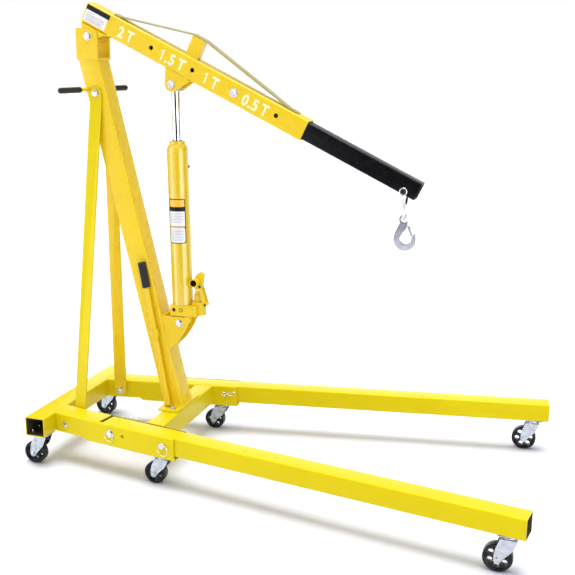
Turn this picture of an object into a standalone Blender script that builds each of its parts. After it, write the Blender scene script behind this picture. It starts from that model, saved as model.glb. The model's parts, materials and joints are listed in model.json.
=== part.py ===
"""Folding engine hoist crane: a wheeled base with two fold-up legs, a braced
mast, and a boom with a sliding extension, lifted by a long-ram hydraulic jack.

Metres, +Z up, +X forward along the boom. The left side is +Y. Everything is
laid out from the front face of the rear cross tube (x = 0, floor z = 0), and
one parent empty then moves it so that the origin is the middle of the base.
"""
import math

import bmesh
import bpy
from mathutils import Matrix, Vector

# ------------------------------------------------------------- dimensions
GAP = 0.0003                # left between pieces that touch
BOLT_SHANK = 0.008          # radii of the big bolts and of their holes
BOLT_BORE = 0.0086
PIN_SHANK = 0.006           # radii of the small bolts and pins and their holes
PIN_HOLE = 0.0066
CORNER = 0.007              # outer corner radius of the square tubes

FRAME_TOP = 0.190           # top of the whole base frame
REAR_TUBE_DEPTH = 0.074
REAR_TUBE_HEIGHT = 0.068
REAR_TUBE_HALF_LENGTH = 0.294
REAR_TUBE_WALL = 0.004

SPLAY = math.radians(9.5)   # each leg opens outwards by this much
ARM_OUTER_Y = 0.222         # outer face of a side arm at x = 0
ARM_WIDTH = 0.077
ARM_WALL = 0.0054
ARM_LENGTH = 0.4944
STUB_BOTTOM = 0.122         # the arm's rear part is a closed tube
CHANNEL_BOTTOM = 0.111      # its front part is a channel, a little deeper
CHANNEL_START = 0.117
CHANNEL_FLOOR = 0.005
STUB_LENGTH = 0.188
FLOOR_CUTOUT_END = 0.292    # no channel floor where the folding leg swings

LEG_SIZE = 0.065
LEG_WALL = 0.0035
LEG_REAR = 0.2025
LEG_TIP = 1.635
LEG_PIVOT = 0.2373          # along the arm
SPARE_HOLE = 0.288
LOCK_PIN = 0.450
BOLT_HEIGHT = 0.1575        # leg pivot and lock pin, middle of the leg

BEAM_REAR = 0.342
BEAM_FRONT = 0.408
BEAM_BOTTOM = 0.118

MAST_WIDTH = 0.080
MAST_DEPTH = 0.0735         # measured level, fore and aft
MAST_LEAN = 0.2405          # how far back per metre of height
MAST_FRONT_FOOT = 0.4036    # front face at the top of the base frame
MAST_WALL = 0.003
FOOT_PLATE = 0.006
MAST_TOP = 1.3797

BOOM_PIVOT = Vector((0.085, 0.0, 1.454))
BOOM_CORNER = Vector((0.0857, 0.0, 1.5631))   # top of the boom's rear end
BOOM_SLOPE = math.radians(25.7)
BOOM_LENGTH = 0.846
BOOM_HEIGHT = 0.068
BOOM_WIDTH = 0.062
BOOM_WALL = 0.004
BOOM_HOLES = (0.265, 0.425, 0.584, 0.742)
EXTENSION_REAR = 0.550
EXTENSION_TIP = 1.2525
EXTENSION_HEIGHT = 0.057
EXTENSION_WIDTH = 0.052
EXTENSION_WALL = 0.0035
BOLT_HOLE = BOOM_HOLES[2]
SHACKLE_ALONG = 1.212
SHACKLE_DOWN = 0.0516

RAM_FOOT = Vector((0.3924, 0.0, 0.499))
RAM_EYE_ALONG = 0.377       # in the boom's frame
RAM_EYE_DOWN = 0.108

REAR_CASTER = dict(height=STUB_BOTTOM, radius=0.040)
MID_CASTER = dict(height=CHANNEL_BOTTOM, radius=0.0375)
FRONT_CASTER = dict(height=FRAME_TOP - LEG_SIZE, radius=0.0425)
FLOOR = 0.0065              # the floor, above the layout's zero
CASTER_TRAIL = 0.030
REAR_CASTER_Y = 0.247
MID_CASTER_ALONG = 0.4295
FRONT_CASTER_ALONG = 1.5855

HANDLE_BAR_X = 0.0805
HANDLE_BAR_Z = 1.282
BRACE_TOP = Vector((0.107, 0.0, 1.272))
BRACE_FOOT = Vector((0.0545, 0.0, 0.152))
BRACE_WIDTH = 0.044
BRACE_THICKNESS = 0.006

# ------------------------------------------------- places worked out from them
ARM_BASE = Vector((math.sin(SPLAY), -math.cos(SPLAY), 0)) * (ARM_WIDTH / 2)
ARM_BASE += Vector((0, ARM_OUTER_Y, 0))
REAR_EDGE = -REAR_TUBE_DEPTH / 2 - CASTER_TRAIL - REAR_CASTER["radius"]
TIP_CORNER = LEG_TIP * math.cos(SPLAY) + LEG_SIZE / 2 * math.sin(SPLAY) + ARM_BASE.x
CENTRE_X = (REAR_EDGE + TIP_CORNER) / 2

ALONG_X = Matrix(((0, 0, 1, 0), (1, 0, 0, 0), (0, 1, 0, 0), (0, 0, 0, 1)))
ALONG_Y = Matrix(((1, 0, 0, 0), (0, 0, -1, 0), (0, 1, 0, 0), (0, 0, 0, 1)))
ALONG_Z = Matrix.Identity(4)
BOOM = Matrix.Translation(BOOM_CORNER) @ Matrix.Rotation(BOOM_SLOPE, 4, "Y")
RAM_EYE = BOOM @ Vector((RAM_EYE_ALONG, 0, -RAM_EYE_DOWN))
RAM_TILT = math.atan2(RAM_EYE.x - RAM_FOOT.x, RAM_EYE.z - RAM_FOOT.z)
RAM = Matrix.Translation(RAM_FOOT) @ Matrix.Rotation(RAM_TILT, 4, "Y")
RAM_LENGTH = (RAM_EYE - RAM_FOOT).length

# (base colour, roughness, metallic)
YELLOW = ("crane_yellow", (0.80, 0.55, 0.015), 0.35, 0.0)
BLACK = ("boom_black", (0.012, 0.012, 0.013), 0.35, 0.0)
ZINC = ("zinc", (0.62, 0.63, 0.65), 0.35, 1.0)
CHROME = ("chrome", (0.80, 0.80, 0.82), 0.08, 1.0)
RUBBER = ("wheel_black", (0.010, 0.010, 0.011), 0.45, 0.0)
GRIP = ("grip_black", (0.018, 0.018, 0.020), 0.6, 0.0)

for old in list(bpy.data.objects):
    bpy.data.objects.remove(old, do_unlink=True)
PARTS = bpy.data.collections.new("engine_hoist_crane")
TOOLS = bpy.data.collections.new("cutters")
bpy.context.scene.collection.children.link(PARTS)
bpy.context.scene.collection.children.link(TOOLS)

base_centre = bpy.data.objects.new("base_centre", None)
base_centre.location = (-CENTRE_X, 0, -FLOOR)
PARTS.objects.link(base_centre)


# ---------------------------------------------------------------- helpers
def material(finish):
    name, colour, roughness, metallic = finish
    found = bpy.data.materials.get(name)
    if found:
        return found
    made = bpy.data.materials.new(name)
    made.use_nodes = True
    shader = made.node_tree.nodes["Principled BSDF"]
    shader.inputs["Base Color"].default_value = (*colour, 1)
    shader.inputs["Roughness"].default_value = roughness
    shader.inputs["Metallic"].default_value = metallic
    made.diffuse_color = (*colour, 1)
    return made


def place(name, mesh, finish, origin=(0, 0, 0)):
    """Put a mesh, already in the crane's frame, in an object turning at origin."""
    mesh.transform(Matrix.Translation(-Vector(origin)))
    mesh.shade_smooth()
    mesh.set_sharp_from_angle(angle=math.radians(32))
    mesh.materials.clear()
    mesh.materials.append(material(finish))
    mesh.name = name
    piece = bpy.data.objects.new(name, mesh)
    piece.location = origin
    piece.parent = base_centre
    PARTS.objects.link(piece)
    return piece


def tool(mesh, name="cutter"):
    """An unrendered helper for the Booleans, in the crane's frame."""
    piece = bpy.data.objects.new(name, mesh)
    piece.parent = base_centre
    piece.hide_render = True
    piece.display_type = "WIRE"
    TOOLS.objects.link(piece)
    return piece


def boolean(target, other, operation):
    change = target.modifiers.new(operation.lower(), "BOOLEAN")
    change.operation = operation
    change.solver = "EXACT"
    change.object = other


def cut(target, *meshes):
    for mesh in meshes:
        boolean(target, tool(mesh), "DIFFERENCE")


def join(target, *meshes):
    for mesh in meshes:
        boolean(target, tool(mesh, "addition"), "UNION")


def finished(build):
    mesh = bpy.data.meshes.new("shape")
    build.to_mesh(mesh)
    build.free()
    return mesh


def block(low, high, matrix=ALONG_Z):
    """A plain box between two corners."""
    build = bmesh.new()
    bmesh.ops.create_cube(build, size=1)
    low, high = Vector(low), Vector(high)
    size = Matrix.Diagonal((*(high - low), 1))
    build.transform(matrix @ Matrix.Translation((low + high) / 2) @ size)
    return finished(build)


def rod(start, end, radius, segments=12, matrix=ALONG_Z):
    """A round bar or the drill for a round hole, between two points."""
    start, end = matrix @ Vector(start), matrix @ Vector(end)
    build = bmesh.new()
    bmesh.ops.create_cone(build, cap_ends=True, segments=segments, radius1=radius,
                          radius2=radius, depth=(end - start).length)
    turn = (end - start).to_track_quat("Z", "Y").to_matrix().to_4x4()
    build.transform(Matrix.Translation((start + end) / 2) @ turn)
    return finished(build)


def settled(helper):
    """The evaluated mesh of a helper object, welded, with the helper removed."""
    graph = bpy.context.evaluated_depsgraph_get()
    mesh = bpy.data.meshes.new_from_object(helper.evaluated_get(graph))
    bpy.data.objects.remove(helper, do_unlink=True)
    build = bmesh.new()
    build.from_mesh(mesh)
    bmesh.ops.remove_doubles(build, verts=build.verts, dist=1e-5)
    bmesh.ops.recalc_face_normals(build, faces=build.faces)
    bpy.data.meshes.remove(mesh)
    return finished(build)


def plate(loops, thickness, matrix):
    """A flat outline, with any further loops as holes, extruded along local Z."""
    curve = bpy.data.curves.new("outline", "CURVE")
    curve.dimensions = "2D"
    curve.fill_mode = "BOTH"
    curve.extrude = thickness / 2
    for loop in loops:
        spline = curve.splines.new("POLY")
        spline.points.add(len(loop) - 1)
        spline.use_cyclic_u = True
        for point, (x, y) in zip(spline.points, loop):
            point.co = (x, y, 0, 1)
    helper = bpy.data.objects.new("outline", curve)
    bpy.context.scene.collection.objects.link(helper)
    mesh = settled(helper)
    mesh.transform(matrix)
    return mesh


def turned(profile, matrix, segments=14):
    """A (radius, height) profile, top to bottom, turned about local Z."""
    build = bmesh.new()
    points = [build.verts.new((radius, 0, height)) for radius, height in profile]
    for first, second in zip(points, points[1:]):
        build.edges.new((first, second))
    helper = bpy.data.objects.new("profile", finished(build))
    bpy.context.scene.collection.objects.link(helper)
    screw = helper.modifiers.new("turn", "SCREW")
    screw.steps = segments
    screw.render_steps = segments
    screw.use_merge_vertices = True
    screw.merge_threshold = 0.00001
    mesh = settled(helper)
    mesh.transform(matrix)
    return mesh


def wire(points, radius, matrix=ALONG_Z, cyclic=False, resolution=2):
    """A round bar bent along points."""
    curve = bpy.data.curves.new("wire", "CURVE")
    curve.dimensions = "3D"
    curve.bevel_depth = radius
    curve.bevel_resolution = resolution
    curve.use_fill_caps = True
    spline = curve.splines.new("POLY")
    spline.points.add(len(points) - 1)
    spline.use_cyclic_u = cyclic
    for target, point in zip(spline.points, points):
        target.co = (*point, 1)
    helper = bpy.data.objects.new("wire", curve)
    bpy.context.scene.collection.objects.link(helper)
    mesh = settled(helper)
    mesh.transform(matrix)
    return mesh


def rounded(width, height, radius, centre=(0, 0), steps=2):
    """The outline of a rectangle with round corners."""
    points = []
    for quarter in range(4):
        side_x = 1 if quarter in (0, 3) else -1
        side_y = 1 if quarter in (0, 1) else -1
        middle_x = centre[0] + side_x * (width / 2 - radius)
        middle_y = centre[1] + side_y * (height / 2 - radius)
        for step in range(steps + 1):
            angle = math.pi / 2 * (quarter + step / steps)
            points.append((middle_x + radius * math.cos(angle),
                           middle_y + radius * math.sin(angle)))
    return points


def tube_loops(width, height, wall, centre=(0, 0), radius=CORNER):
    inner = max(radius - wall, 0.001)
    return [rounded(width, height, radius, centre),
            rounded(width - 2 * wall, height - 2 * wall, inner, centre)]


def arc(centre, radius, start, end, steps):
    """Points on a circle from one angle to another, in degrees."""
    points = []
    for step in range(steps + 1):
        angle = math.radians(start + (end - start) * step / steps)
        points.append((centre[0] + radius * math.cos(angle),
                       centre[1] + radius * math.sin(angle)))
    return points


def hull(circles, steps=6):
    """The outline wrapped round circles given as (x, y, radius)."""
    cloud = []
    for x, y, radius in circles:
        cloud += arc((x, y), radius, 0, 360, steps * 4)[:-1]
    wrapped = sorted({(round(x, 6), round(y, 6)) for x, y in cloud})
    sides = []
    for ordered in (wrapped, wrapped[::-1]):
        side = []
        for point in ordered:
            while len(side) > 1 and turn_of(side[-2], side[-1], point) <= 1e-12:
                side.pop()
            side.append(point)
        sides += side[:-1]
    return sides


def turn_of(first, second, third):
    across = (second[0] - first[0]) * (third[1] - first[1])
    return across - (second[1] - first[1]) * (third[0] - first[0])


def slab(loops, near, far):
    """A fore-and-aft outline in (x, z), between two y values."""
    return plate(loops, abs(far - near),
                 Matrix.Translation((0, (near + far) / 2, 0)) @ ALONG_Y)


def arm_frame(side):
    """Local +X along a side arm, +Y towards the outside of the left arm."""
    base = Vector((ARM_BASE.x, side * ARM_BASE.y, 0))
    return Matrix.Translation(base) @ Matrix.Rotation(side * SPLAY, 4, "Z")


def brace_foot(side):
    """Where a brace is bolted on, in the side arm's own frame."""
    inside = arm_frame(side).inverted() @ Vector((BRACE_FOOT.x, side * 0.15, BRACE_FOOT.z))
    return Vector((inside.x, 0, inside.z))


def side_name(side):
    return "left" if side > 0 else "right"


def outward(side):
    """Turns local +Z to point away from the crane's middle plane."""
    return Vector((0, side, 0)).to_track_quat("Z", "Y").to_matrix().to_4x4()


def bolt_profile(length, shank, head, head_depth, nut_depth):
    """A bolt with its head above z = 0 and its nut below z = -length."""
    return [(0, head_depth), (head * 0.9, head_depth), (head, head_depth * 0.7),
            (head, 0), (shank, 0), (shank, -length), (head, -length),
            (head, -length - nut_depth), (0, -length - nut_depth)]


def cross_bolt(name, centre, half_span, shank, head, head_depth, side=-1,
               matrix=ALONG_Z, finish=ZINC):
    """A bolt across the crane, its head and nut standing off half_span."""
    start = matrix @ Matrix.Translation(Vector(centre) + Vector((0, side * half_span, 0)))
    profile = bolt_profile(2 * half_span, shank, head, head_depth, head_depth)
    mesh = turned(profile, start @ outward(side), 12)
    return place(name, mesh, finish, matrix @ Vector(centre))


# ------------------------------------------------------------- base frame
def rear_cross_tube():
    middle = (-REAR_TUBE_DEPTH / 2, FRAME_TOP - REAR_TUBE_HEIGHT / 2)
    loops = tube_loops(REAR_TUBE_DEPTH, REAR_TUBE_HEIGHT, REAR_TUBE_WALL, middle, 0.004)
    mesh = slab(loops, -REAR_TUBE_HALF_LENGTH, REAR_TUBE_HALF_LENGTH)
    place("rear_cross_tube", mesh, YELLOW)


def side_channel(side):
    frame = arm_frame(side)
    half = ARM_WIDTH / 2
    inner = half - ARM_WALL
    floor = CHANNEL_BOTTOM + CHANNEL_FLOOR
    outline = [(-0.02, STUB_BOTTOM), (CHANNEL_START, STUB_BOTTOM),
               (CHANNEL_START + 0.008, CHANNEL_BOTTOM), (ARM_LENGTH, CHANNEL_BOTTOM),
               (ARM_LENGTH, FRAME_TOP), (-0.02, FRAME_TOP)]
    mesh = plate([outline], ARM_WIDTH, frame @ ALONG_Y)
    name = "side_channel_" + side_name(side)
    arm = place(name, mesh, YELLOW)
    cut(arm, block((-0.1, -half - 0.1, 0), (GAP, half + 0.1, 0.3),
                   Matrix.Translation((0, side * 0.2, 0))))
    cut(arm, block((STUB_LENGTH, -inner, floor), (ARM_LENGTH + 0.1, inner, 0.3), frame))
    narrow = inner - 0.001
    cut(arm, block((0.012, -narrow, STUB_BOTTOM + ARM_WALL),
                   (STUB_LENGTH + 0.01, narrow, FRAME_TOP - ARM_WALL), frame))
    wide = inner - GAP
    cut(arm, block((STUB_LENGTH + 0.002, -wide, 0.05),
                   (FLOOR_CUTOUT_END, wide, 0.14), frame))
    for along, radius in ((LEG_PIVOT, BOLT_BORE), (SPARE_HOLE, PIN_HOLE), (LOCK_PIN, PIN_HOLE)):
        cut(arm, rod((along, -0.1, BOLT_HEIGHT), (along, 0.1, BOLT_HEIGHT), radius, 12, frame))
    foot = brace_foot(side)
    cut(arm, rod((foot.x, -0.1, foot.z), (foot.x, 0.1, foot.z), PIN_HOLE, 12, frame))


def front_cross_beam():
    middle = ((BEAM_REAR + BEAM_FRONT) / 2, (FRAME_TOP + BEAM_BOTTOM) / 2)
    loops = tube_loops(BEAM_FRONT - BEAM_REAR, FRAME_TOP - BEAM_BOTTOM, 0.004, middle, 0.004)
    beam = place("front_cross_beam", slab(loops, -0.24, 0.24), YELLOW)
    for side in (-1, 1):
        edge = side * (-ARM_WIDTH / 2 - GAP)
        low, high = sorted((edge, edge + side * 0.2))
        cut(beam, block((0, low, 0), (0.8, high, 0.4), arm_frame(side)))


def leg(side):
    frame = arm_frame(side)
    middle = FRAME_TOP - LEG_SIZE / 2
    loops = tube_loops(LEG_SIZE, LEG_SIZE, LEG_WALL, (0, middle), 0.005)
    along = Matrix.Translation(((LEG_REAR + LEG_TIP) / 2, 0, 0))
    mesh = plate(loops, LEG_TIP - LEG_REAR, frame @ along @ ALONG_X)
    pivot = frame @ Vector((LEG_PIVOT, 0, BOLT_HEIGHT))
    name = "leg_" + side_name(side)
    piece = place(name, mesh, YELLOW, pivot)
    cut(piece, rod((LEG_PIVOT, -0.1, BOLT_HEIGHT), (LEG_PIVOT, 0.1, BOLT_HEIGHT),
                   BOLT_BORE, 12, frame))
    slot = [(LOCK_PIN - 0.0068, 0.10), (LOCK_PIN + 0.0068, 0.10)]
    slot += arc((LOCK_PIN, BOLT_HEIGHT), 0.0068, 0, 180, 8)
    cut(piece, plate([slot], 0.2, frame @ ALONG_Y))


def leg_hardware(side):
    frame = arm_frame(side)
    half = ARM_WIDTH / 2 + GAP
    name = side_name(side)
    cross_bolt("leg_pivot_bolt_" + name, (LEG_PIVOT, 0, BOLT_HEIGHT), half, BOLT_SHANK,
               0.0135, 0.007, side, frame)
    start = Matrix.Translation((LOCK_PIN, side * half, BOLT_HEIGHT))
    reach = 2 * half + 0.016
    profile = [(0, 0.010), (0.009, 0.010), (0.011, 0.008), (0.011, 0), (PIN_SHANK, 0),
               (PIN_SHANK, -reach + 0.002), (0.004, -reach), (0, -reach)]
    place("lock_pin_" + name, turned(profile, frame @ start @ outward(side), 12), ZINC,
          frame @ Vector((LOCK_PIN, 0, BOLT_HEIGHT)))


# ------------------------------------------------------------------ casters
def caster(name, kind, place_at):
    height, radius = kind["height"], kind["radius"]
    kingpin = Vector((place_at[0], place_at[1], 0))
    at = Matrix.Translation(kingpin)
    plate_low = height - GAP - 0.003
    mesh = plate([rounded(0.070, 0.056, 0.006)], 0.003,
                 at @ Matrix.Translation((0, 0, plate_low + 0.0015)))
    place(f"{name}_plate", mesh, ZINC)

    crown_top = plate_low - GAP
    crown = [(0, crown_top), (0.018, crown_top), (0.023, crown_top - 0.004),
             (0.023, crown_top - 0.009), (0, crown_top - 0.009)]
    fork = place(f"{name}_fork", turned(crown, at, 16), ZINC, (*kingpin[:2], crown_top))
    axle = Vector((-CASTER_TRAIL, 0, FLOOR + radius))
    top = crown_top - 0.006
    arm = [(-0.019, top), (0.019, top), (0.014, top - 0.016)]
    arm += arc((axle.x, axle.z), 0.0115, -20, -160, 4)
    arm += [(-0.034, axle.z + 0.02)]
    for side in (-1, 1):
        join(fork, plate([arm], 0.0025, at @ Matrix.Translation((0, side * 0.02, 0)) @ ALONG_Y))
    join(fork, block((-0.019, -0.02, top - 0.002), (0.019, 0.02, top), at))
    join(fork, rod(axle + Vector((0, -0.0245, 0)), axle + Vector((0, 0.0245, 0)),
                   0.0045, 12, at))

    tyre = 0.0140
    hub = 0.0175
    bore = 0.0049
    web = 0.009
    rim = radius - 0.010
    profile = [(bore, hub), (0.012, hub), (0.012, web), (rim, web), (rim, tyre),
               (radius - 0.003, tyre), (radius, tyre - 0.004), (radius, -tyre + 0.004),
               (radius - 0.003, -tyre), (rim, -tyre), (rim, -web), (0.012, -web),
               (0.012, -hub), (bore, -hub), (bore, hub)]
    spin = at @ Matrix.Translation(axle) @ Matrix.Rotation(math.pi / 2, 4, "X")
    wheel = place(f"{name}_wheel", turned(profile, spin, 20), RUBBER, kingpin + axle)
    ring = (0.012 + rim) / 2
    for hole in range(6):
        angle = math.pi / 3 * (hole + 0.5)
        centre = axle + Vector((ring * math.cos(angle), 0, ring * math.sin(angle)))
        across = Vector((0, 0.03, 0))
        cut(wheel, rod(centre - across, centre + across, (rim - 0.012) * 0.37, 8, at))


def casters():
    for side in (-1, 1):
        name = side_name(side)
        frame = arm_frame(side)
        rear = (-REAR_TUBE_DEPTH / 2, side * REAR_CASTER_Y)
        caster("rear_caster_" + name, REAR_CASTER, rear)
        middle = frame @ Vector((MID_CASTER_ALONG, 0, 0))
        caster("mid_caster_" + name, MID_CASTER, middle)
        front = frame @ Vector((FRONT_CASTER_ALONG, 0, 0))
        caster("front_caster_" + name, FRONT_CASTER, front)


# --------------------------------------------------------------------- mast
def mast_front(height):
    return MAST_FRONT_FOOT - MAST_LEAN * (height - FRAME_TOP)


def mast():
    foot = FRAME_TOP + GAP
    low = foot + FOOT_PLATE + GAP
    centre_x = mast_front(foot) - MAST_DEPTH / 2
    mesh = plate([rounded(0.078, 0.186, 0.006)], FOOT_PLATE,
                 Matrix.Translation((centre_x, 0, foot + FOOT_PLATE / 2)))
    place("mast_foot_plate", mesh, YELLOW)

    mesh = plate(tube_loops(MAST_DEPTH, MAST_WIDTH, MAST_WALL), MAST_TOP - low, ALONG_Z)
    lean = Matrix.Identity(4)
    lean[0][2] = -MAST_LEAN
    middle = (low + MAST_TOP) / 2
    mesh.transform(Matrix.Translation((mast_front(middle) - MAST_DEPTH / 2, 0, middle)) @ lean)
    tube = place("mast_tube", mesh, YELLOW)
    cut(tube, rod((HANDLE_BAR_X, -0.1, HANDLE_BAR_Z), (HANDLE_BAR_X, 0.1, HANDLE_BAR_Z), PIN_HOLE))
    cut(tube, rod((BRACE_TOP.x, -0.1, BRACE_TOP.z), (BRACE_TOP.x, 0.1, BRACE_TOP.z), PIN_HOLE))

    low_head = MAST_TOP + GAP
    head = place("mast_head", block((0.041, -0.041, low_head), (0.120, 0.041, low_head + 0.006)),
                 YELLOW)
    cheek = [(0.041, low_head), (0.120, low_head)]
    cheek += arc((0.106, 1.460), 0.014, 0, 80, 4)
    cheek += [(0.047, 1.482), (0.041, 1.477)]
    hole = arc((BOOM_PIVOT.x, BOOM_PIVOT.z), BOLT_BORE, 0, 360, 12)[:-1]
    for side in (-1, 1):
        join(head, slab([cheek, hole], side * 0.0380, side * 0.0435))
    cross_bolt("boom_pivot_bolt", BOOM_PIVOT, 0.0435 + GAP, BOLT_SHANK, 0.0135, 0.008)


def push_handle():
    bar = [(HANDLE_BAR_X, y, HANDLE_BAR_Z) for y in (-0.215, 0.215)]
    place("push_handle_bar", rod(*bar, 0.006, 16), YELLOW)
    for side in (-1, 1):
        inner = Matrix.Translation((HANDLE_BAR_X, side * 0.096, HANDLE_BAR_Z))
        profile = [(0, 0.124), (0.006, 0.124), (0.0092, 0.121), (0.0095, 0.118),
                   (0.0095, 0.003), (0.0088, 0.0), (0.0066, 0.0), (0.0066, 0.1193),
                   (0, 0.1193)]
        place("push_grip_" + side_name(side), turned(profile, inner @ outward(side)), GRIP)


def brace(side):
    """A flat bar from the mast's side down to the inner face of a side arm."""
    inner_face = arm_frame(side) @ Vector((0.04, side * (-ARM_WIDTH / 2), 0))
    top_y = side * (MAST_WIDTH / 2 + GAP)
    foot_y = inner_face.y - side * (BRACE_THICKNESS + 0.004)
    bend_low = BRACE_FOOT.z + 0.030
    bend_high = BRACE_TOP.z - 0.030
    outline = arc((BRACE_TOP.x, BRACE_TOP.z), BRACE_WIDTH / 2, 180, 0, 8)
    outline += [(BRACE_TOP.x + BRACE_WIDTH / 2, bend_high),
                (BRACE_FOOT.x + BRACE_WIDTH / 2, bend_low)]
    outline += arc((BRACE_FOOT.x, BRACE_FOOT.z), BRACE_WIDTH / 2, 0, -180, 8)
    outline += [(BRACE_FOOT.x - BRACE_WIDTH / 2, bend_low),
                (BRACE_TOP.x - BRACE_WIDTH / 2, bend_high)]
    mesh = slab([outline], 0, BRACE_THICKNESS)
    inward_splay = math.tan(SPLAY)
    for vertex in mesh.vertices:
        height = vertex.co.z
        share = min(max((height - bend_low) / (bend_high - bend_low), 0), 1)
        flat = foot_y + side * inward_splay * (vertex.co.x - BRACE_FOOT.x)
        middle = flat + (top_y - flat) * share
        vertex.co.y = middle + vertex.co.y - (0 if side > 0 else BRACE_THICKNESS)
    piece = place("brace_" + side_name(side), mesh, YELLOW)
    cut(piece, rod((BRACE_TOP.x, -0.1, BRACE_TOP.z), (BRACE_TOP.x, 0.1, BRACE_TOP.z), PIN_HOLE))
    frame = arm_frame(side)
    foot = brace_foot(side)
    cut(piece, rod((foot.x, -0.15, foot.z), (foot.x, 0.15, foot.z), PIN_HOLE, 12, frame))
    clear = ARM_WIDTH / 2 + BRACE_THICKNESS + 0.006
    start = frame @ Matrix.Translation(foot + Vector((0, side * (ARM_WIDTH / 2 + GAP), 0)))
    profile = bolt_profile(ARM_WIDTH / 2 + clear, PIN_SHANK, 0.011, 0.006, 0.006)
    place("brace_foot_bolt_" + side_name(side), turned(profile, start @ outward(side), 12),
          ZINC)


def brace_top_bolt():
    cross_bolt("brace_top_bolt", BRACE_TOP, MAST_WIDTH / 2 + BRACE_THICKNESS + 2 * GAP,
               PIN_SHANK, 0.0125, 0.007)


def ram_bracket():
    """Two cheeks on the mast's front face, joined by a web against the mast."""
    heights = (0.400, 0.520)
    rear_low = mast_front(heights[0]) + GAP
    rear_high = mast_front(heights[1]) + GAP
    cheek = [(rear_low, heights[0]), (0.385, 0.430), (0.412, 0.470), (0.4325, 0.512),
             (0.4325, heights[1]), (rear_high, heights[1])]
    web = [(rear_low, heights[0]), (rear_low + 0.006, heights[0]),
           (rear_high + 0.006, heights[1]), (rear_high, heights[1])]
    hole = arc((RAM_FOOT.x, RAM_FOOT.z), BOLT_BORE, 0, 360, 12)[:-1]
    bracket = place("ram_lower_bracket", slab([web], -0.034, 0.034), YELLOW)
    for side in (-1, 1):
        join(bracket, slab([cheek, hole], side * 0.0325, side * 0.038))
    cross_bolt("ram_foot_bolt", RAM_FOOT, 0.038 + GAP, BOLT_SHANK, 0.0135, 0.007)


# --------------------------------------------------------------------- boom
def boom():
    middle = (0, -BOOM_HEIGHT / 2)
    loops = tube_loops(BOOM_WIDTH, BOOM_HEIGHT, BOOM_WALL, middle, 0.006)
    along = Matrix.Translation((BOOM_LENGTH / 2, 0, 0))
    tube = place("boom_tube", plate(loops, BOOM_LENGTH, BOOM @ along @ ALONG_X), YELLOW,
                 BOOM_PIVOT)
    for hole in BOOM_HOLES:
        cut(tube, rod((hole, -0.1, middle[1]), (hole, 0.1, middle[1]), 0.0074, 12, BOOM))

    pivot = BOOM.inverted() @ BOOM_PIVOT
    under = -BOOM_HEIGHT - GAP
    lug_outline = [(0.004, under - 0.001), (0.099, under - 0.001)]
    lug_outline += arc((pivot.x, pivot.z), 0.020, -30, -180, 8)
    hole = arc((pivot.x, pivot.z), BOLT_BORE, 0, 360, 12)[:-1]
    place_lug = BOOM @ ALONG_Y
    top = plate([[(0.004, under), (0.100, under), (0.100, under - 0.005),
                  (0.004, under - 0.005)]], 0.074, place_lug)
    lug = place("boom_pivot_lug", top, YELLOW, BOOM_PIVOT)
    for side in (-1, 1):
        shift = Matrix.Translation((0, side * 0.0355, 0))
        join(lug, plate([lug_outline, hole], 0.005, BOOM @ shift @ ALONG_Y))

    cheek = [(0.337, under - 0.001), (0.430, under - 0.001), (0.398, -0.122)]
    cheek += arc((RAM_EYE_ALONG, -RAM_EYE_DOWN), 0.0225, -38, -155, 6)
    hole = arc((RAM_EYE_ALONG, -RAM_EYE_DOWN), BOLT_BORE, 0, 360, 12)[:-1]
    web = [(0.337, under), (0.430, under), (0.430, under - 0.004), (0.337, under - 0.004)]
    bracket = place("boom_ram_bracket", plate([web], 0.060, place_lug), YELLOW, BOOM_PIVOT)
    for side in (-1, 1):
        shift = Matrix.Translation((0, side * 0.0285, 0))
        join(bracket, plate([cheek, hole], 0.005, BOOM @ shift @ ALONG_Y))
    near = Matrix.Translation((RAM_EYE_ALONG, -0.031 - GAP, -RAM_EYE_DOWN))
    profile = [(0, 0.008), (0.012, 0.008), (0.0135, 0.006), (0.0135, 0), (0.008, 0),
               (0.008, -0.0055), (0, -0.0055)]
    place("ram_top_bolt", turned(profile, BOOM @ near @ outward(-1), 12), ZINC, BOOM_PIVOT)


def truss():
    place("truss_post", plate([[(0.376, GAP), (0.420, GAP), (0.420, 0.0632), (0.376, 0.0632)]],
                              0.030, BOOM @ ALONG_Y), YELLOW, BOOM_PIVOT)
    thick = 0.005
    line = [(0.096, GAP), (0.116, GAP), (0.376, 0.0635), (0.420, 0.0635), (0.770, GAP),
            (0.800, GAP)]
    outline = line + [(along, up + thick) for along, up in reversed(line)]
    place("truss_strap", plate([outline], 0.030, BOOM @ ALONG_Y), YELLOW, BOOM_PIVOT)


def extension():
    middle = (0, -BOOM_HEIGHT / 2)
    loops = tube_loops(EXTENSION_WIDTH, EXTENSION_HEIGHT, EXTENSION_WALL, middle, 0.005)
    length = EXTENSION_TIP - EXTENSION_REAR
    along = Matrix.Translation((EXTENSION_REAR + length / 2, 0, 0))
    tube = place("boom_extension", plate(loops, length, BOOM @ along @ ALONG_X), BLACK,
                 BOOM @ Vector((EXTENSION_TIP, 0, middle[1])))
    cut(tube, rod((BOLT_HOLE, -0.1, middle[1]), (BOLT_HOLE, 0.1, middle[1]), 0.0074, 12, BOOM))
    cut(tube, rod((SHACKLE_ALONG, -0.1, -SHACKLE_DOWN), (SHACKLE_ALONG, 0.1, -SHACKLE_DOWN),
                  0.0056, 12, BOOM))

    near = Matrix.Translation((BOLT_HOLE, -BOOM_WIDTH / 2 - GAP, middle[1]))
    profile = [(0, 0.009), (0.008, 0.009), (0.009, 0.008), (0.009, 0.002), (0.0145, 0.002),
               (0.0145, 0), (0.0068, 0), (0.0068, -0.0042), (0, -0.0042)]
    place("extension_bolt", turned(profile, BOOM @ near @ outward(-1), 12), ZINC,
          (BOOM @ near).translation)


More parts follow.
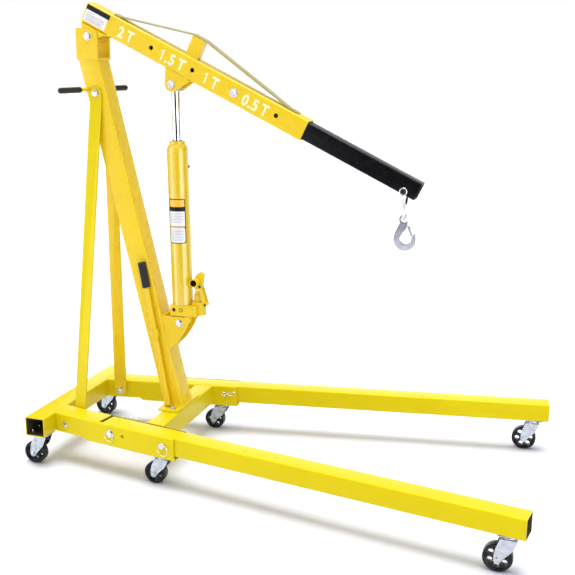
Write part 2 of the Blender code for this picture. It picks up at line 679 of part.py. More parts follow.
# ------------------------------------------------------- shackle and hook
def hook_set():
    pin = BOOM @ Vector((SHACKLE_ALONG, 0, -SHACKLE_DOWN))
    at = Matrix.Translation(pin)
    ear = 0.0325
    start = at @ Matrix.Translation((0, -ear - 0.0045, 0))
    span = 2 * (ear + 0.0045)
    profile = [(0, 0.005), (0.007, 0.005), (0.008, 0.004), (0.008, 0), (0.005, 0),
               (0.005, -span), (0.008, -span), (0.008, -span - 0.005), (0, -span - 0.005)]
    place("shackle_pin", turned(profile, start @ outward(-1), 14), ZINC, pin)

    bow = 0.004
    drop = 0.0885
    low = 0.0125
    side_run = [(0, ear, -0.010), (0, ear, -0.022), (0, 0.026, -0.034), (0, 0.0165, -0.046),
                (0, low + 0.0008, -0.060)]
    bottom = [(0, low * math.cos(a), -drop + low - low * math.sin(a))
              for a in (math.pi * step / 8 for step in range(9))]
    route = side_run + bottom + [(x, -y, z) for x, y, z in reversed(side_run)]
    shackle = place("shackle", wire(route, bow, at), ZINC, pin)
    for side in (-1, 1):
        ring = turned([(0.0054, 0.004), (0.0125, 0.004), (0.0125, -0.004), (0.0054, -0.004),
                       (0.0054, 0.004)], at @ Matrix.Translation((0, side * ear, 0)) @ ALONG_Y, 16)
        join(shackle, ring)

    hook_body(pin + Vector((0, 0, -drop)))


def hook_body(bar):
    """An eye hook in the fore-and-aft plane, hanging on the shackle's bar."""
    eye = bar + Vector((0, 0, -0.0030))
    outer = arc((0, 0), 0.0165, 60, 212, 8)
    outer += [(-0.022, -0.030), (-0.0285, -0.044)]
    outer += arc((0.004, -0.0630), 0.0365, 165, 345, 14)
    outer += [(0.0385, -0.060), (0.0345, -0.0465), (0.0300, -0.0520)]
    outer += arc((0.010, -0.0640), 0.0185, 20, -190, 14)
    outer += [(-0.002, -0.040), (0.0085, -0.030), (0.0125, -0.018)]
    hole = arc((0, 0), 0.0090, 0, 360, 12)[:-1]
    body = plate([outer, hole], 0.010, Matrix.Translation(eye) @ ALONG_Y)
    place("hook", body, ZINC, bar)

    hinge = eye + Vector((0.0152, 0, -0.0235))
    latch = arc((0, 0), 0.003, 20, 200, 6) + [(0.0095, -0.0270), (0.0125, -0.0262)]
    place("hook_latch", plate([latch], 0.009, Matrix.Translation(hinge) @ ALONG_Y), ZINC, hinge)


# ---------------------------------------------------------------------- ram
def ram():
    """The jack, upright in its own frame, with its foot pin at the origin."""
    body = place("ram_base_block",
                 plate([rounded(0.100, 0.073, 0.008, (0.013, 0))], 0.036,
                       RAM @ Matrix.Translation((0, 0, 0.0435))), YELLOW, RAM_FOOT)
    lug = [(-0.020, 0.030), (-0.020, 0.0)] + arc((0, 0), 0.020, 180, 360, 8) + [(0.020, 0.030)]
    join(body, plate([lug], 0.060, RAM @ ALONG_Y))
    join(body, plate([rounded(0.046, 0.040, 0.010, (0.060, 0))], 0.046,
                     RAM @ Matrix.Translation((0, 0, 0.0495))))
    cut(body, rod((0, -0.1, 0), (0, 0.1, 0), BOLT_BORE, 12, RAM))
    cut(body, rod((0.055, 0, 0.040), (0.055, 0, 0.09), BOLT_BORE, 12, RAM))

    low = 0.0615 + GAP
    shoulder = 0.602
    mouth = 0.620
    bore = 0.0150
    profile = [(bore, mouth), (0.0255, mouth), (0.0270, mouth - 0.002), (0.0270, mouth - 0.008),
               (0.0260, mouth - 0.009), (0.0290, mouth - 0.013), (0.0315, shoulder - 0.001),
               (0.0360, shoulder - 0.010), (0.0360, low + 0.004), (0.0364, low),
               (0.010, low), (0.010, low + 0.006), (0.0320, low + 0.006), (0.0320, shoulder - 0.016),
               (bore, shoulder - 0.016), (bore, mouth)]
    place("ram_cylinder", turned(profile, RAM, 24), YELLOW, RAM_FOOT)

    rod_low = low + 0.090
    profile = [(0, RAM_LENGTH - 0.012), (0.0143, RAM_LENGTH - 0.012), (0.0143, rod_low),
               (0, rod_low)]
    piece = place("ram_rod", turned(profile, RAM, 16), CHROME, RAM_EYE)
    eye = arc((0, RAM_LENGTH), 0.0175, 0, 180, 10) + [(-0.0175, RAM_LENGTH - 0.022),
                                                        (0.0175, RAM_LENGTH - 0.022)]
    hole = arc((0, RAM_LENGTH), 0.0085, 0, 360, 12)[:-1]
    join(piece, plate([eye, hole], 0.030, RAM @ ALONG_Y))


def pump():
    pin = Vector((0.0695, 0, 0.127))
    plunger_x = 0.055
    profile = [(0, 0.1090), (0.0075, 0.1090), (0.0075, 0.094), (0.0080, 0.093),
               (0.0080, 0.046), (0, 0.046)]
    at = RAM @ Matrix.Translation((plunger_x, 0, 0))
    place("pump_piston", turned(profile, at, 16), YELLOW, RAM @ Vector((plunger_x, 0, 0.1090)))

    socket = (0.056, 0.143)
    outline = hull([(socket[0], socket[1], 0.0135), (0.070, 0.164, 0.012),
                    (pin.x, pin.z, 0.008), (0.056, 0.121, 0.008)])
    rocker = place("pump_rocker", plate([outline], 0.016, RAM @ ALONG_Y), YELLOW, RAM @ pin)
    mouth = (socket[0], -0.034, socket[1])
    back = (socket[0], 0.024, socket[1])
    join(rocker, rod(mouth, back, 0.0145, 12, RAM))
    cut(rocker, rod((socket[0], -0.06, socket[1]), (socket[0], 0.018, socket[1]), 0.0115, 12, RAM))


def pump_handle():
    """The loose pump lever, stored along the mast's right side."""
    low = Vector((0.3516, -MAST_WIDTH / 2 - 0.0145, 0.2015))
    high = Vector((0.2647, -MAST_WIDTH / 2 - 0.0145, 0.7075))
    turn = (high - low).to_track_quat("Z", "Y").to_matrix().to_4x4()
    length = (high - low).length
    profile = [(0, length), (0.012, length), (0.014, length - 0.002), (0.014, length - 0.088),
               (0.0095, length - 0.088), (0.0095, 0), (0, 0)]
    place("pump_handle", turned(profile, Matrix.Translation(low) @ turn, 18), YELLOW, low)


rear_cross_tube()
front_cross_beam()
for hand in (-1, 1):
    side_channel(hand)
    leg(hand)
    leg_hardware(hand)
    brace(hand)
casters()
mast()
push_handle()
brace_top_bolt()
ram_bracket()
boom()
truss()
extension()
hook_set()
ram()
pump()
pump_handle()
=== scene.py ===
"""The looks of a folding engine hoist crane: gloss yellow paint, a black boom
extension, zinc-plated hardware, a chromed ram and black wheels.

Shapes are laid out, as the CAD was, from the front face of the rear cross tube
(x = 0) with the floor at z = FLOOR, +X forward, +Y to the crane's left, in metres.
INTO_CAD then moves them into the CAD's frame, centred and standing on z = 0.
"""
import json
import math

import bmesh
import bpy
from mathutils import Matrix, Vector


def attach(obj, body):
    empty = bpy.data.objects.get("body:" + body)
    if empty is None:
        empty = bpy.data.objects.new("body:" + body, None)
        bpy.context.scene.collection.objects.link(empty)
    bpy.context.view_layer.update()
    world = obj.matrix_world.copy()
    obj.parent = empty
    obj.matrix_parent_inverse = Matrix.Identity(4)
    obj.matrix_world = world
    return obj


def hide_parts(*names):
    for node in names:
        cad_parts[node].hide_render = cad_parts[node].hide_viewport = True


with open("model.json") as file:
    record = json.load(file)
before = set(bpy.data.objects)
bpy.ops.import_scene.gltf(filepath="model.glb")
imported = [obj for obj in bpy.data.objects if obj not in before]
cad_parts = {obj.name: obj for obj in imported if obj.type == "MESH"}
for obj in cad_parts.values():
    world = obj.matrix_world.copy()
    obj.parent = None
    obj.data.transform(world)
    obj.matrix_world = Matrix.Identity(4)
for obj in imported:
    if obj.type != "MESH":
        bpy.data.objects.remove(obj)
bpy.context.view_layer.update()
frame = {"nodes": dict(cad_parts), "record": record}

# ---- sizes of the crane
GAP = 0.0003
FLOOR = 0.0065
FRAME_TOP = 0.190
REAR_TUBE = dict(depth=0.074, height=0.068, half=0.294)
SPLAY = math.radians(9.5)
ARM_OUTER_Y = 0.222
ARM_WIDTH = 0.077
ARM_WALL = 0.0054
ARM_LENGTH = 0.4944
STUB_BOTTOM = 0.122
STUB_LENGTH = 0.188
CHANNEL_BOTTOM = 0.111
CHANNEL_START = 0.117
CHANNEL_FLOOR = 0.005
FLOOR_CUTOUT_END = 0.292
LEG_SIZE = 0.065
LEG_WALL = 0.0035
LEG_REAR = 0.2025
LEG_TIP = 1.635
LEG_PIVOT = 0.2373
SPARE_HOLE = 0.288
LOCK_PIN = 0.450
BOLT_HEIGHT = 0.1575
BEAM_REAR = 0.342
BEAM_FRONT = 0.408
BEAM_BOTTOM = 0.118
MAST_WIDTH = 0.080
MAST_DEPTH = 0.0735
MAST_LEAN = 0.2405
MAST_FRONT_FOOT = 0.4036
MAST_WALL = 0.003
MAST_TOP = 1.3797
FOOT_PLATE_TOP = FRAME_TOP + GAP + 0.006
BOOM_PIVOT = Vector((0.085, 0.0, 1.454))
BOOM_CORNER = Vector((0.0857, 0.0, 1.5631))
BOOM_SLOPE = math.radians(25.7)
BOOM_LENGTH = 0.846
BOOM_HEIGHT = 0.068
BOOM_WIDTH = 0.062
BOOM_HOLES = (0.265, 0.425, 0.584, 0.742)
EXTENSION_REAR = 0.550
EXTENSION_TIP = 1.2525
SHACKLE_ALONG = 1.212
SHACKLE_DOWN = 0.0516
RAM_FOOT_HEIGHT = 0.499
RAM_FOOT = Vector((0.3924, 0.0, RAM_FOOT_HEIGHT))
RAM_EYE_ALONG = 0.377
RAM_EYE_DOWN = 0.108
BRACE_TOP = Vector((0.107, 0.0, 1.272))
BRACE_FOOT = Vector((0.0545, 0.0, 0.152))
HANDLE_BAR_X = 0.0805
HANDLE_BAR_Z = 1.282
CASTER_TRAIL = 0.030
WHEEL_RADIUS = dict(rear=0.040, mid=0.0375, front=0.0425)
MID_KINGPIN = 0.4295
FRONT_KINGPIN = 1.5855
LARGE_HOLE = 0.0084
SMALL_HOLE = 0.0066
BOOM_HOLE = 0.0074
EXTENSION_SIZE = (0.052, 0.057)
TUBE_WALL = 0.004
PUMP_ALONG = 0.055
VALVE_HEIGHT = 0.0460

ARM_BASE = Vector((math.sin(SPLAY), -math.cos(SPLAY), 0)) * (ARM_WIDTH / 2)
ARM_BASE += Vector((0, ARM_OUTER_Y, 0))
REAR_EDGE = -REAR_TUBE["depth"] / 2 - CASTER_TRAIL - WHEEL_RADIUS["rear"]
TIP_CORNER = LEG_TIP * math.cos(SPLAY) + LEG_SIZE / 2 * math.sin(SPLAY) + ARM_BASE.x
CENTRE_X = (REAR_EDGE + TIP_CORNER) / 2

INTO_CAD = Matrix.Translation((-CENTRE_X, 0, -FLOOR))
STILL = Matrix.Identity(4)
ALONG_X = Matrix(((0, 0, 1, 0), (1, 0, 0, 0), (0, 1, 0, 0), (0, 0, 0, 1)))
ALONG_Y = Matrix(((1, 0, 0, 0), (0, 0, -1, 0), (0, 1, 0, 0), (0, 0, 0, 1)))
BOOM = Matrix.Translation(BOOM_CORNER) @ Matrix.Rotation(BOOM_SLOPE, 4, "Y")
RAM_EYE = BOOM @ Vector((RAM_EYE_ALONG, 0, -RAM_EYE_DOWN))
RAM_TILT = math.atan2(RAM_EYE.x - RAM_FOOT.x, RAM_EYE.z - RAM_FOOT.z)
RAM = Matrix.Translation(RAM_FOOT) @ Matrix.Rotation(RAM_TILT, 4, "Y")
RAM_LENGTH = (RAM_EYE - RAM_FOOT).length

BEHAVIOUR = frame["record"]["behaviour"]
BODY_OF = {node: body for body, nodes in BEHAVIOUR["bodies"].items() for node in nodes}


# ---- materials
class Nodes:
    """A short way to write a material's node tree."""

    def __init__(self, name):
        self.material = bpy.data.materials.new(name)
        self.material.use_nodes = True
        self.tree = self.material.node_tree
        self.shader = self.tree.nodes["Principled BSDF"]
        self.place = self.add("ShaderNodeTexCoord").outputs["Object"]

    def add(self, kind, **settings):
        node = self.tree.nodes.new(kind)
        for key, value in settings.items():
            setattr(node, key, value)
        return node

    def link(self, output, socket):
        self.tree.links.new(output, socket)

    def noise(self, scale, detail=2.0, stretch=(1, 1, 1)):
        mapping = self.add("ShaderNodeMapping")
        mapping.inputs["Scale"].default_value = stretch
        self.link(self.place, mapping.inputs["Vector"])
        noise = self.add("ShaderNodeTexNoise")
        noise.inputs["Scale"].default_value = scale
        noise.inputs["Detail"].default_value = detail
        self.link(mapping.outputs["Vector"], noise.inputs["Vector"])
        return noise.outputs["Fac"]

    def ramp(self, factor, stops):
        ramp = self.add("ShaderNodeValToRGB")
        elements = ramp.color_ramp.elements
        while len(elements) < len(stops):
            elements.new(0.5)
        for element, (position, colour) in zip(elements, stops):
            element.position = position
            element.color = (*colour, 1) if len(colour) == 3 else colour
        self.link(factor, ramp.inputs["Fac"])
        return ramp.outputs["Color"]

    def levels(self, factor, low, high):
        """A value from low to high as the factor goes over its middle range."""
        levels = self.add("ShaderNodeMapRange")
        for name, value in (("From Min", 0.3), ("From Max", 0.7), ("To Min", low),
                            ("To Max", high)):
            levels.inputs[name].default_value = value
        self.link(factor, levels.inputs["Value"])
        return levels.outputs["Result"]

    def bump(self, height, depth, normal=None):
        bump = self.add("ShaderNodeBump")
        bump.inputs["Strength"].default_value = 1.0
        bump.inputs["Distance"].default_value = depth
        self.link(height, bump.inputs["Height"])
        if normal:
            self.link(normal, bump.inputs["Normal"])
        return bump.outputs["Normal"]

    def surface(self, tint, stops, dull, limits, fine, depth):
        """Colour, roughness and bump, each from a noise of its own scale."""
        self.link(self.ramp(self.noise(*tint), stops), self.shader.inputs["Base Color"])
        self.link(self.levels(self.noise(*dull), *limits), self.shader.inputs["Roughness"])
        self.link(self.bump(self.noise(*fine), depth), self.shader.inputs["Normal"])

    def set(self, **values):
        for name, value in values.items():
            self.shader.inputs[name.replace("_", " ")].default_value = value
        return self


def paint(name, pale, deep, roughness, coat, peel=0.00003, gleam=(1, 1, 1), shine=0.5):
    """Gloss powder coat: slow drifts in tint, orange peel and faint dulling."""
    nodes = Nodes(name)
    nodes.surface((2.5, 3), [(0.35, pale), (0.65, deep)],
                  (35, 4), (roughness - 0.03, roughness + 0.06), (380, 1), peel)
    nodes.set(Coat_Weight=coat, Coat_Roughness=0.06, Coat_IOR=1.5, Specular_Tint=(*gleam, 1),
              Specular_IOR_Level=shine)
    return nodes.material


def metal(name, colour, shade, roughness, grain=(1, 1, 1), depth=0.00002):
    """Plated or bare metal with a faint grain in colour, gloss and surface."""
    nodes = Nodes(name)
    nodes.surface((60, 4, grain), [(0.3, colour), (0.7, shade)],
                  (90, 5, grain), (roughness * 0.7, roughness * 1.4), (700, 2, grain), depth)
    nodes.set(Metallic=1.0)
    return nodes.material


def plastic(name, colour, shade, roughness, depth, scale, coat=0.0, shine=0.5):
    """Moulded plastic, rubber or printed vinyl, with a fine grain."""
    nodes = Nodes(name)
    nodes.surface((25, 3), [(0.35, colour), (0.7, shade)],
                  (50, 4), (roughness - 0.04, roughness + 0.07), (scale, 2), depth)
    nodes.set(Coat_Weight=coat, Coat_Roughness=0.08, Specular_IOR_Level=shine)
    return nodes.material


YELLOW = paint("gloss_yellow", (0.84, 0.590, 0.010), (0.79, 0.545, 0.008), 0.28, 0.12,
               gleam=(1.0, 0.85, 0.45))
LEMON = paint("frame_yellow", (0.715, 0.575, 0.004), (0.670, 0.530, 0.003), 0.30, 0.05,
              gleam=(1.0, 0.80, 0.10))
RAM_PAINT = paint("ram_yellow", (0.80, 0.555, 0.012), (0.76, 0.520, 0.010), 0.20, 1.0)
STRAP = paint("strap_yellow", (0.42, 0.36, 0.115), (0.36, 0.30, 0.090), 0.30, 0.2)
YELLOW_MARK = paint("label_yellow", (0.88, 0.50, 0.012), (0.86, 0.47, 0.012), 0.35, 0.1)
# painted shade: a dark brown on the inner walls of the tubes, channels and pump socket, standing
# for the shade in their hollows
INSIDE_SHADE = paint("tube_inside_shade", (0.100, 0.070, 0.016), (0.055, 0.040, 0.014), 0.62, 0.0, 0.0002)
BLACK = paint("satin_black", (0.006, 0.006, 0.007), (0.004, 0.004, 0.005), 0.24, 0.0, shine=0.24)
MARKING = paint("white_marking", (0.96, 0.95, 0.62), (0.93, 0.91, 0.55), 0.35, 0.1)
VINYL = plastic("white_vinyl", (0.86, 0.86, 0.87), (0.80, 0.80, 0.82), 0.38, 0.00001, 300, 0.2)
PRINT_BLACK = plastic("print_black", (0.008, 0.008, 0.008), (0.012, 0.012, 0.012), 0.35, 0.00001,
                      300, shine=0.15)
PRINT_GREY = plastic("print_grey", (0.34, 0.34, 0.36), (0.28, 0.28, 0.30), 0.45, 0.00001, 300)
ZINC = metal("zinc_plate", (0.72, 0.73, 0.75), (0.60, 0.61, 0.63), 0.20)
FORK_ZINC = metal("pressed_zinc", (0.58, 0.62, 0.65), (0.38, 0.41, 0.45), 0.28)
CHROME = metal("hard_chrome", (0.86, 0.86, 0.88), (0.80, 0.80, 0.83), 0.05, (1, 1, 0.05),
               0.000004)
DARK_STEEL = metal("black_oxide", (0.05, 0.05, 0.055), (0.02, 0.02, 0.023), 0.35)
WHEEL = plastic("wheel_plastic", (0.005, 0.005, 0.006), (0.010, 0.010, 0.011), 0.22, 0.00004,
                450, shine=0.30)
GRIP = plastic("grip_rubber", (0.012, 0.012, 0.014), (0.022, 0.022, 0.025), 0.50, 0.0001, 900,
               shine=0.25)


# ---- mesh tools
def move(x, y, z):
    """A shift, as a matrix."""
    return Matrix.Translation((x, y, z))


def finished(build, turn_out=True):
    """The mesh of a closed shape, with its faces turned outward."""
    if turn_out:
        bmesh.ops.recalc_face_normals(build, faces=build.faces)
        if build.calc_volume(signed=True) < 0:
            bmesh.ops.reverse_faces(build, faces=build.faces)
    mesh = bpy.data.meshes.new("shape")
    build.to_mesh(mesh)
    build.free()
    return mesh


def settled(helper, turn_out=True):
    """The evaluated mesh of a helper object, welded, with the helper removed."""
    if helper.name not in bpy.context.scene.collection.objects:
        bpy.context.scene.collection.objects.link(helper)
    graph = bpy.context.evaluated_depsgraph_get()
    mesh = bpy.data.meshes.new_from_object(helper.evaluated_get(graph))
    bpy.data.objects.remove(helper, do_unlink=True)
    build = bmesh.new()
    build.from_mesh(mesh)
    bpy.data.meshes.remove(mesh)
    bmesh.ops.remove_doubles(build, verts=build.verts, dist=2e-6)
    bmesh.ops.dissolve_degenerate(build, edges=build.edges, dist=1e-6)
    return finished(build, turn_out)


def merged(*meshes):
    """Separate closed shells in one mesh."""
    build = bmesh.new()
    for mesh in meshes:
        build.from_mesh(mesh)
        bpy.data.meshes.remove(mesh)
    return finished(build, False)


def shaped(mesh, operation, *others):
    """A Boolean of a mesh with others, applied."""
    target = bpy.data.objects.new("target", mesh)
    helpers = []
    for other in others:
        helper = bpy.data.objects.new("helper", other)
        bpy.context.scene.collection.objects.link(helper)
        helpers.append(helper)
        change = target.modifiers.new("change", "BOOLEAN")
        change.operation = operation
        change.solver = "EXACT"
        change.object = helper
    result = settled(target, False)
    for helper in helpers:
        bpy.data.objects.remove(helper, do_unlink=True)
    return result


def cut(mesh, *cutters):
    """The mesh with the cutters taken out of it."""
    return shaped(mesh, "DIFFERENCE", *cutters)


def arc(centre, radius, start, end, steps=16):
    """Points on a circle from one angle to another, in degrees."""
    points = []
    for step in range(steps + 1):
        angle = math.radians(start + (end - start) * step / steps)
        points.append((centre[0] + radius * math.cos(angle),
                       centre[1] + radius * math.sin(angle)))
    return points


def circle(centre, radius, steps=32):
    """Points once round a circle."""
    return arc(centre, radius, 0, 360, steps)[:-1]


def rounded(width, height, radius, centre=(0, 0), steps=6):
    """The outline of a rectangle with round corners."""
    points = []
    for quarter in range(4):
        side_x = 1 if quarter in (0, 3) else -1
        side_y = 1 if quarter in (0, 1) else -1
        middle = (centre[0] + side_x * (width / 2 - radius),
                  centre[1] + side_y * (height / 2 - radius))
        points += arc(middle, radius, 90 * quarter, 90 * quarter + 90, steps)
    return points


def tube_loops(width, height, wall, centre=(0, 0), radius=0.007):
    """The outer and inner outline of a rectangular tube."""
    inner = max(radius - wall, 0.0015)
    return [rounded(width, height, radius, centre),
            rounded(width - 2 * wall, height - 2 * wall, inner, centre)]


def plate(loops, thickness, matrix):
    """An outline, with any further loops as holes, extruded along local Z."""
    curve = bpy.data.curves.new("outline", "CURVE")
    curve.dimensions = "2D"
    curve.fill_mode = "BOTH"
    curve.extrude = thickness / 2
    for loop in loops:
        spline = curve.splines.new("POLY")
        spline.points.add(len(loop) - 1)
        spline.use_cyclic_u = True
        for point, (x, y) in zip(spline.points, loop):
            point.co = (x, y, 0, 1)
    mesh = settled(bpy.data.objects.new("outline", curve))
    mesh.transform(matrix)
    return mesh


def block(low, high, matrix=STILL):
    """A box between two corners."""
    build = bmesh.new()
    bmesh.ops.create_cube(build, size=1)
    low, high = Vector(low), Vector(high)
    build.transform(matrix @ Matrix.Translation((low + high) / 2)
                    @ Matrix.Diagonal((*(high - low), 1)))
    return finished(build)


def rod(start, end, radius, matrix=STILL, segments=32):
    """A straight round rod between two points."""
    start, end = matrix @ Vector(start), matrix @ Vector(end)
    build = bmesh.new()
    bmesh.ops.create_cone(build, cap_ends=True, segments=segments, radius1=radius,
                          radius2=radius, depth=(end - start).length)
    turn = (end - start).to_track_quat("Z", "Y").to_matrix().to_4x4()
    build.transform(Matrix.Translation((start + end) / 2) @ turn)
    return finished(build)


def drill(x, z, radius, matrix=STILL):
    """A cutter for a hole straight across, along local Y."""
    return rod((x, -0.1, z), (x, 0.1, z), radius, matrix)


def turned(profile, matrix=STILL, segments=48):
    """A (radius, height) profile turned about local Z, closed if it ends where it began."""
    build = bmesh.new()
    rings = []
    for radius, height in profile:
        if radius < 1e-7:
            rings.append([build.verts.new((0, 0, height))] * segments)
        else:
            rings.append([build.verts.new((radius * math.cos(2 * math.pi * step / segments),
                                           radius * math.sin(2 * math.pi * step / segments),
                                           height)) for step in range(segments)])
    for upper, lower in zip(rings, rings[1:]):
        for step in range(segments):
            after = (step + 1) % segments
            corners = [upper[step], upper[after], lower[after], lower[step]]
            corners = list(dict.fromkeys(corners))
            if len(corners) > 2:
                build.faces.new(corners)
    bmesh.ops.remove_doubles(build, verts=build.verts, dist=1e-7)
    build.transform(matrix)
    return finished(build)


def bar(points, radius, matrix=STILL, cyclic=False, resolution=6, radii=None):
    """A round bar bent along points."""
    curve = bpy.data.curves.new("bar", "CURVE")
    curve.dimensions = "3D"
    curve.bevel_depth = radius
    curve.bevel_resolution = resolution
    curve.use_fill_caps = True
    spline = curve.splines.new("POLY")
    spline.points.add(len(points) - 1)
    spline.use_cyclic_u = cyclic
    for index, (target, point) in enumerate(zip(spline.points, points)):
        target.co = (*point, 1)
        target.radius = radii[index] if radii else 1.0
    mesh = settled(bpy.data.objects.new("bar", curve))
    mesh.transform(matrix)
    return mesh


def smooth_path(points, steps=8):
    """A path through all the points without corners."""
    points = [Vector(point) for point in points]
    ends = [points[0] * 2 - points[1]] + points + [points[-1] * 2 - points[-2]]
    path = []
    for before, here, there, after in zip(ends, ends[1:], ends[2:], ends[3:]):
        for step in range(steps):
            t = step / steps
            path.append(0.5 * (here * 2 + (there - before) * t
                               + (before * 2 - here * 5 + there * 4 - after) * t * t
                               + (here * 3 - before - there * 3 + after) * t ** 3))
    return path + [points[-1]]


def outward(side):
    """Turns local +Z to point away from the crane's middle plane."""
    return Vector((0, side, 0)).to_track_quat("Z", "Y").to_matrix().to_4x4()


def arm_frame(side):
    """The frame of one splayed side arm: +X along it, the origin at its root."""
    base = Vector((ARM_BASE.x, side * ARM_BASE.y, 0))
    return Matrix.Translation(base) @ Matrix.Rotation(side * SPLAY, 4, "Z")


def side_name(side):
    return "left" if side > 0 else "right"


# ---- putting in place
def piece(name, mesh, finish, body=None, node=None, edge=0.0, steps=2, angle=35):
    """A visible piece, riding on a body or standing for one CAD node."""
    mesh.transform(INTO_CAD)
    mesh.shade_smooth()
    mesh.set_sharp_from_angle(angle=math.radians(angle))
    made = bpy.data.objects.new(name, mesh)
    bpy.context.scene.collection.objects.link(made)
    mesh.materials.clear()
    for material in finish if isinstance(finish, list) else [finish]:
        mesh.materials.append(material)
    if edge:
        soften(made, edge, steps, angle)
    if node:
        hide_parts(node)
    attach(made, body or BODY_OF[node])
    return made


def soften(thing, width, steps=2, angle=35):
    """Rounds a piece's sharp edges."""
    bevel = thing.modifiers.new("edges", "BEVEL")
    bevel.width = width
    bevel.segments = steps
    bevel.limit_method = "ANGLE"
    bevel.angle_limit = math.radians(angle)
    bevel.harden_normals = True


def refine(node, finish, edge=0.0008, steps=2):
    """Keeps a CAD node's own shape, with a better material and softened edges."""
    thing = frame["nodes"][node]
    for place in thing.material_slots:
        place.material = finish
    weld = thing.modifiers.new("weld", "WELD")
    weld.merge_threshold = 0.00001
    soften(thing, edge, steps)


def paint_shade_inside(thing, inside):
    """Gives the faces that the test picks out the piece's second material: painted shade for the
    piece's hollows.
    """
    for face in thing.data.polygons:
        if inside(face):
            face.material_index = 1


def tube_inside_shade(axis_point, axis_direction):
    """A test for a tube's inner walls, which face its middle line and get painted shade."""
    start = INTO_CAD @ Vector(axis_point)
    direction = Vector(axis_direction).normalized()

    def faces_middle(face):
        away = face.center - start
        away -= direction * away.dot(direction)
        if abs(face.normal.dot(direction)) > 0.5:
            return False
        return face.normal.dot(away) < -0.3 * away.length

    return faces_middle


# ---- small hardware
def hexagon(radius, height, matrix):
    """A hexagon bolt head or nut, its corners chamfered, sitting on local z = 0."""
    profile = [(0, height), (radius * 0.84, height), (radius, height * 0.78), (radius, 0),
               (0, 0)]
    return turned(profile, matrix, 6)


def washer(outer, inner, height, matrix):
    """A flat washer, its outer edge chamfered, sitting on local z = 0."""
    edge = height * 0.25
    return turned([(inner, height), (outer - edge, height), (outer, height - edge),
                   (outer, 0), (inner, 0), (inner, height)], matrix, 40)


def bolt(half_span, shank, radius, matrix, head_height=0.0055):
    """A bolt through a hole along local Z: washer and head above, nut below."""
    top = matrix @ move(0, 0, half_span)
    low = matrix @ Matrix.Rotation(math.pi, 4, "X") @ move(0, 0, half_span)
    twist = Matrix.Rotation(math.radians(17), 4, "Z")
    lift = move(0, 0, 0.0015)
    tip = [(0, 0.0085), (shank * 0.8, 0.0085), (shank * 0.98, 0.0072), (shank * 0.98, 0), (0, 0)]
    return merged(washer(radius * 1.12, shank, 0.0015, top),
                  hexagon(radius, head_height, top @ lift @ twist),
                  turned([(0, 0), (shank, 0), (shank, -2 * half_span), (0, -2 * half_span)], top),
                  washer(radius * 1.12, shank, 0.0015, low),
                  hexagon(radius, head_height, low @ lift @ twist.inverted()),
                  turned(tip, low @ move(0, 0, -0.0003), 24))


def bolt_end(face, ring, head, shank=None, segments=48):
    """One side of a bolt: a washer on the face, a head or nut on it, and the shank."""
    height = ring[-1]
    parts = [washer(*ring, face), hexagon(*head, face @ move(0, 0, height))]
    if shank:
        parts.append(turned(shank, face, segments))
    return merged(*parts)


def cross_bolt(node, centre, half_span, shank, radius, side=-1, matrix=STILL):
    """A bolt across the crane that stands for a CAD bolt, its head on the given side."""
    at = matrix @ Matrix.Translation(centre) @ outward(side)
    piece(node + "_hex", bolt(half_span, shank, radius, at), ZINC, node=node, edge=0.0003)


def weld(name, points, body, radius=0.0026, matrix=STILL):
    """A painted weld bead along straight runs, with its ripples."""
    path = []
    radii = []
    for first, second in zip(points, points[1:]):
        first, second = Vector(first), Vector(second)
        count = max(2, round((second - first).length / 0.0022))
        for step in range(count):
            path.append(first.lerp(second, step / count))
            radii.append(1.0 if len(path) % 2 else 0.78)
    path.append(Vector(points[-1]))
    radii.append(0.6)
    piece(name, bar(path, radius, matrix, resolution=2, radii=radii), YELLOW, body, angle=80)


def wire_ring(name, centre, radius, body, matrix):
    """A hanging wire ring in local XZ."""
    points = [(radius * math.cos(a), 0, radius * math.sin(a))
              for a in (2 * math.pi * step / 40 for step in range(40))]
    mesh = bar(points, 0.0011, matrix @ Matrix.Translation(centre), cyclic=True, resolution=3)
    piece(name, mesh, ZINC, body)


def hairpin(name, start, body, matrix):
    """A spring clip: one straight leg through the pin and one waved leg over it."""
    route = [(-0.012, 0, 0.0015), (0.0, 0, 0.0015), (0.026, 0, 0.0020), (0.036, 0, 0.0045),
             (0.0395, 0, 0.0095), (0.036, 0, 0.0145), (0.028, 0, 0.0150), (0.019, 0, 0.0115),
             (0.010, 0, 0.0075), (0.001, 0, 0.0110), (-0.007, 0, 0.0135)]
    mesh = bar(smooth_path(route, 5), 0.0012, matrix @ Matrix.Translation(start), resolution=3)
    piece(name, mesh, ZINC, body)


# ---- base frame
def rear_cross_tube():
    size = REAR_TUBE
    middle = (-size["depth"] / 2, FRAME_TOP - size["height"] / 2)
    loops = tube_loops(size["depth"], size["height"], TUBE_WALL, middle, 0.0055)
    mesh = plate(loops, 2 * size["half"], ALONG_Y)
    tube = piece("rear_cross_tube_painted", mesh, [LEMON, INSIDE_SHADE], node="rear_cross_tube",
                 edge=0.0006)
    paint_shade_inside(tube, tube_inside_shade((middle[0], 0, middle[1]), (0, 1, 0)))


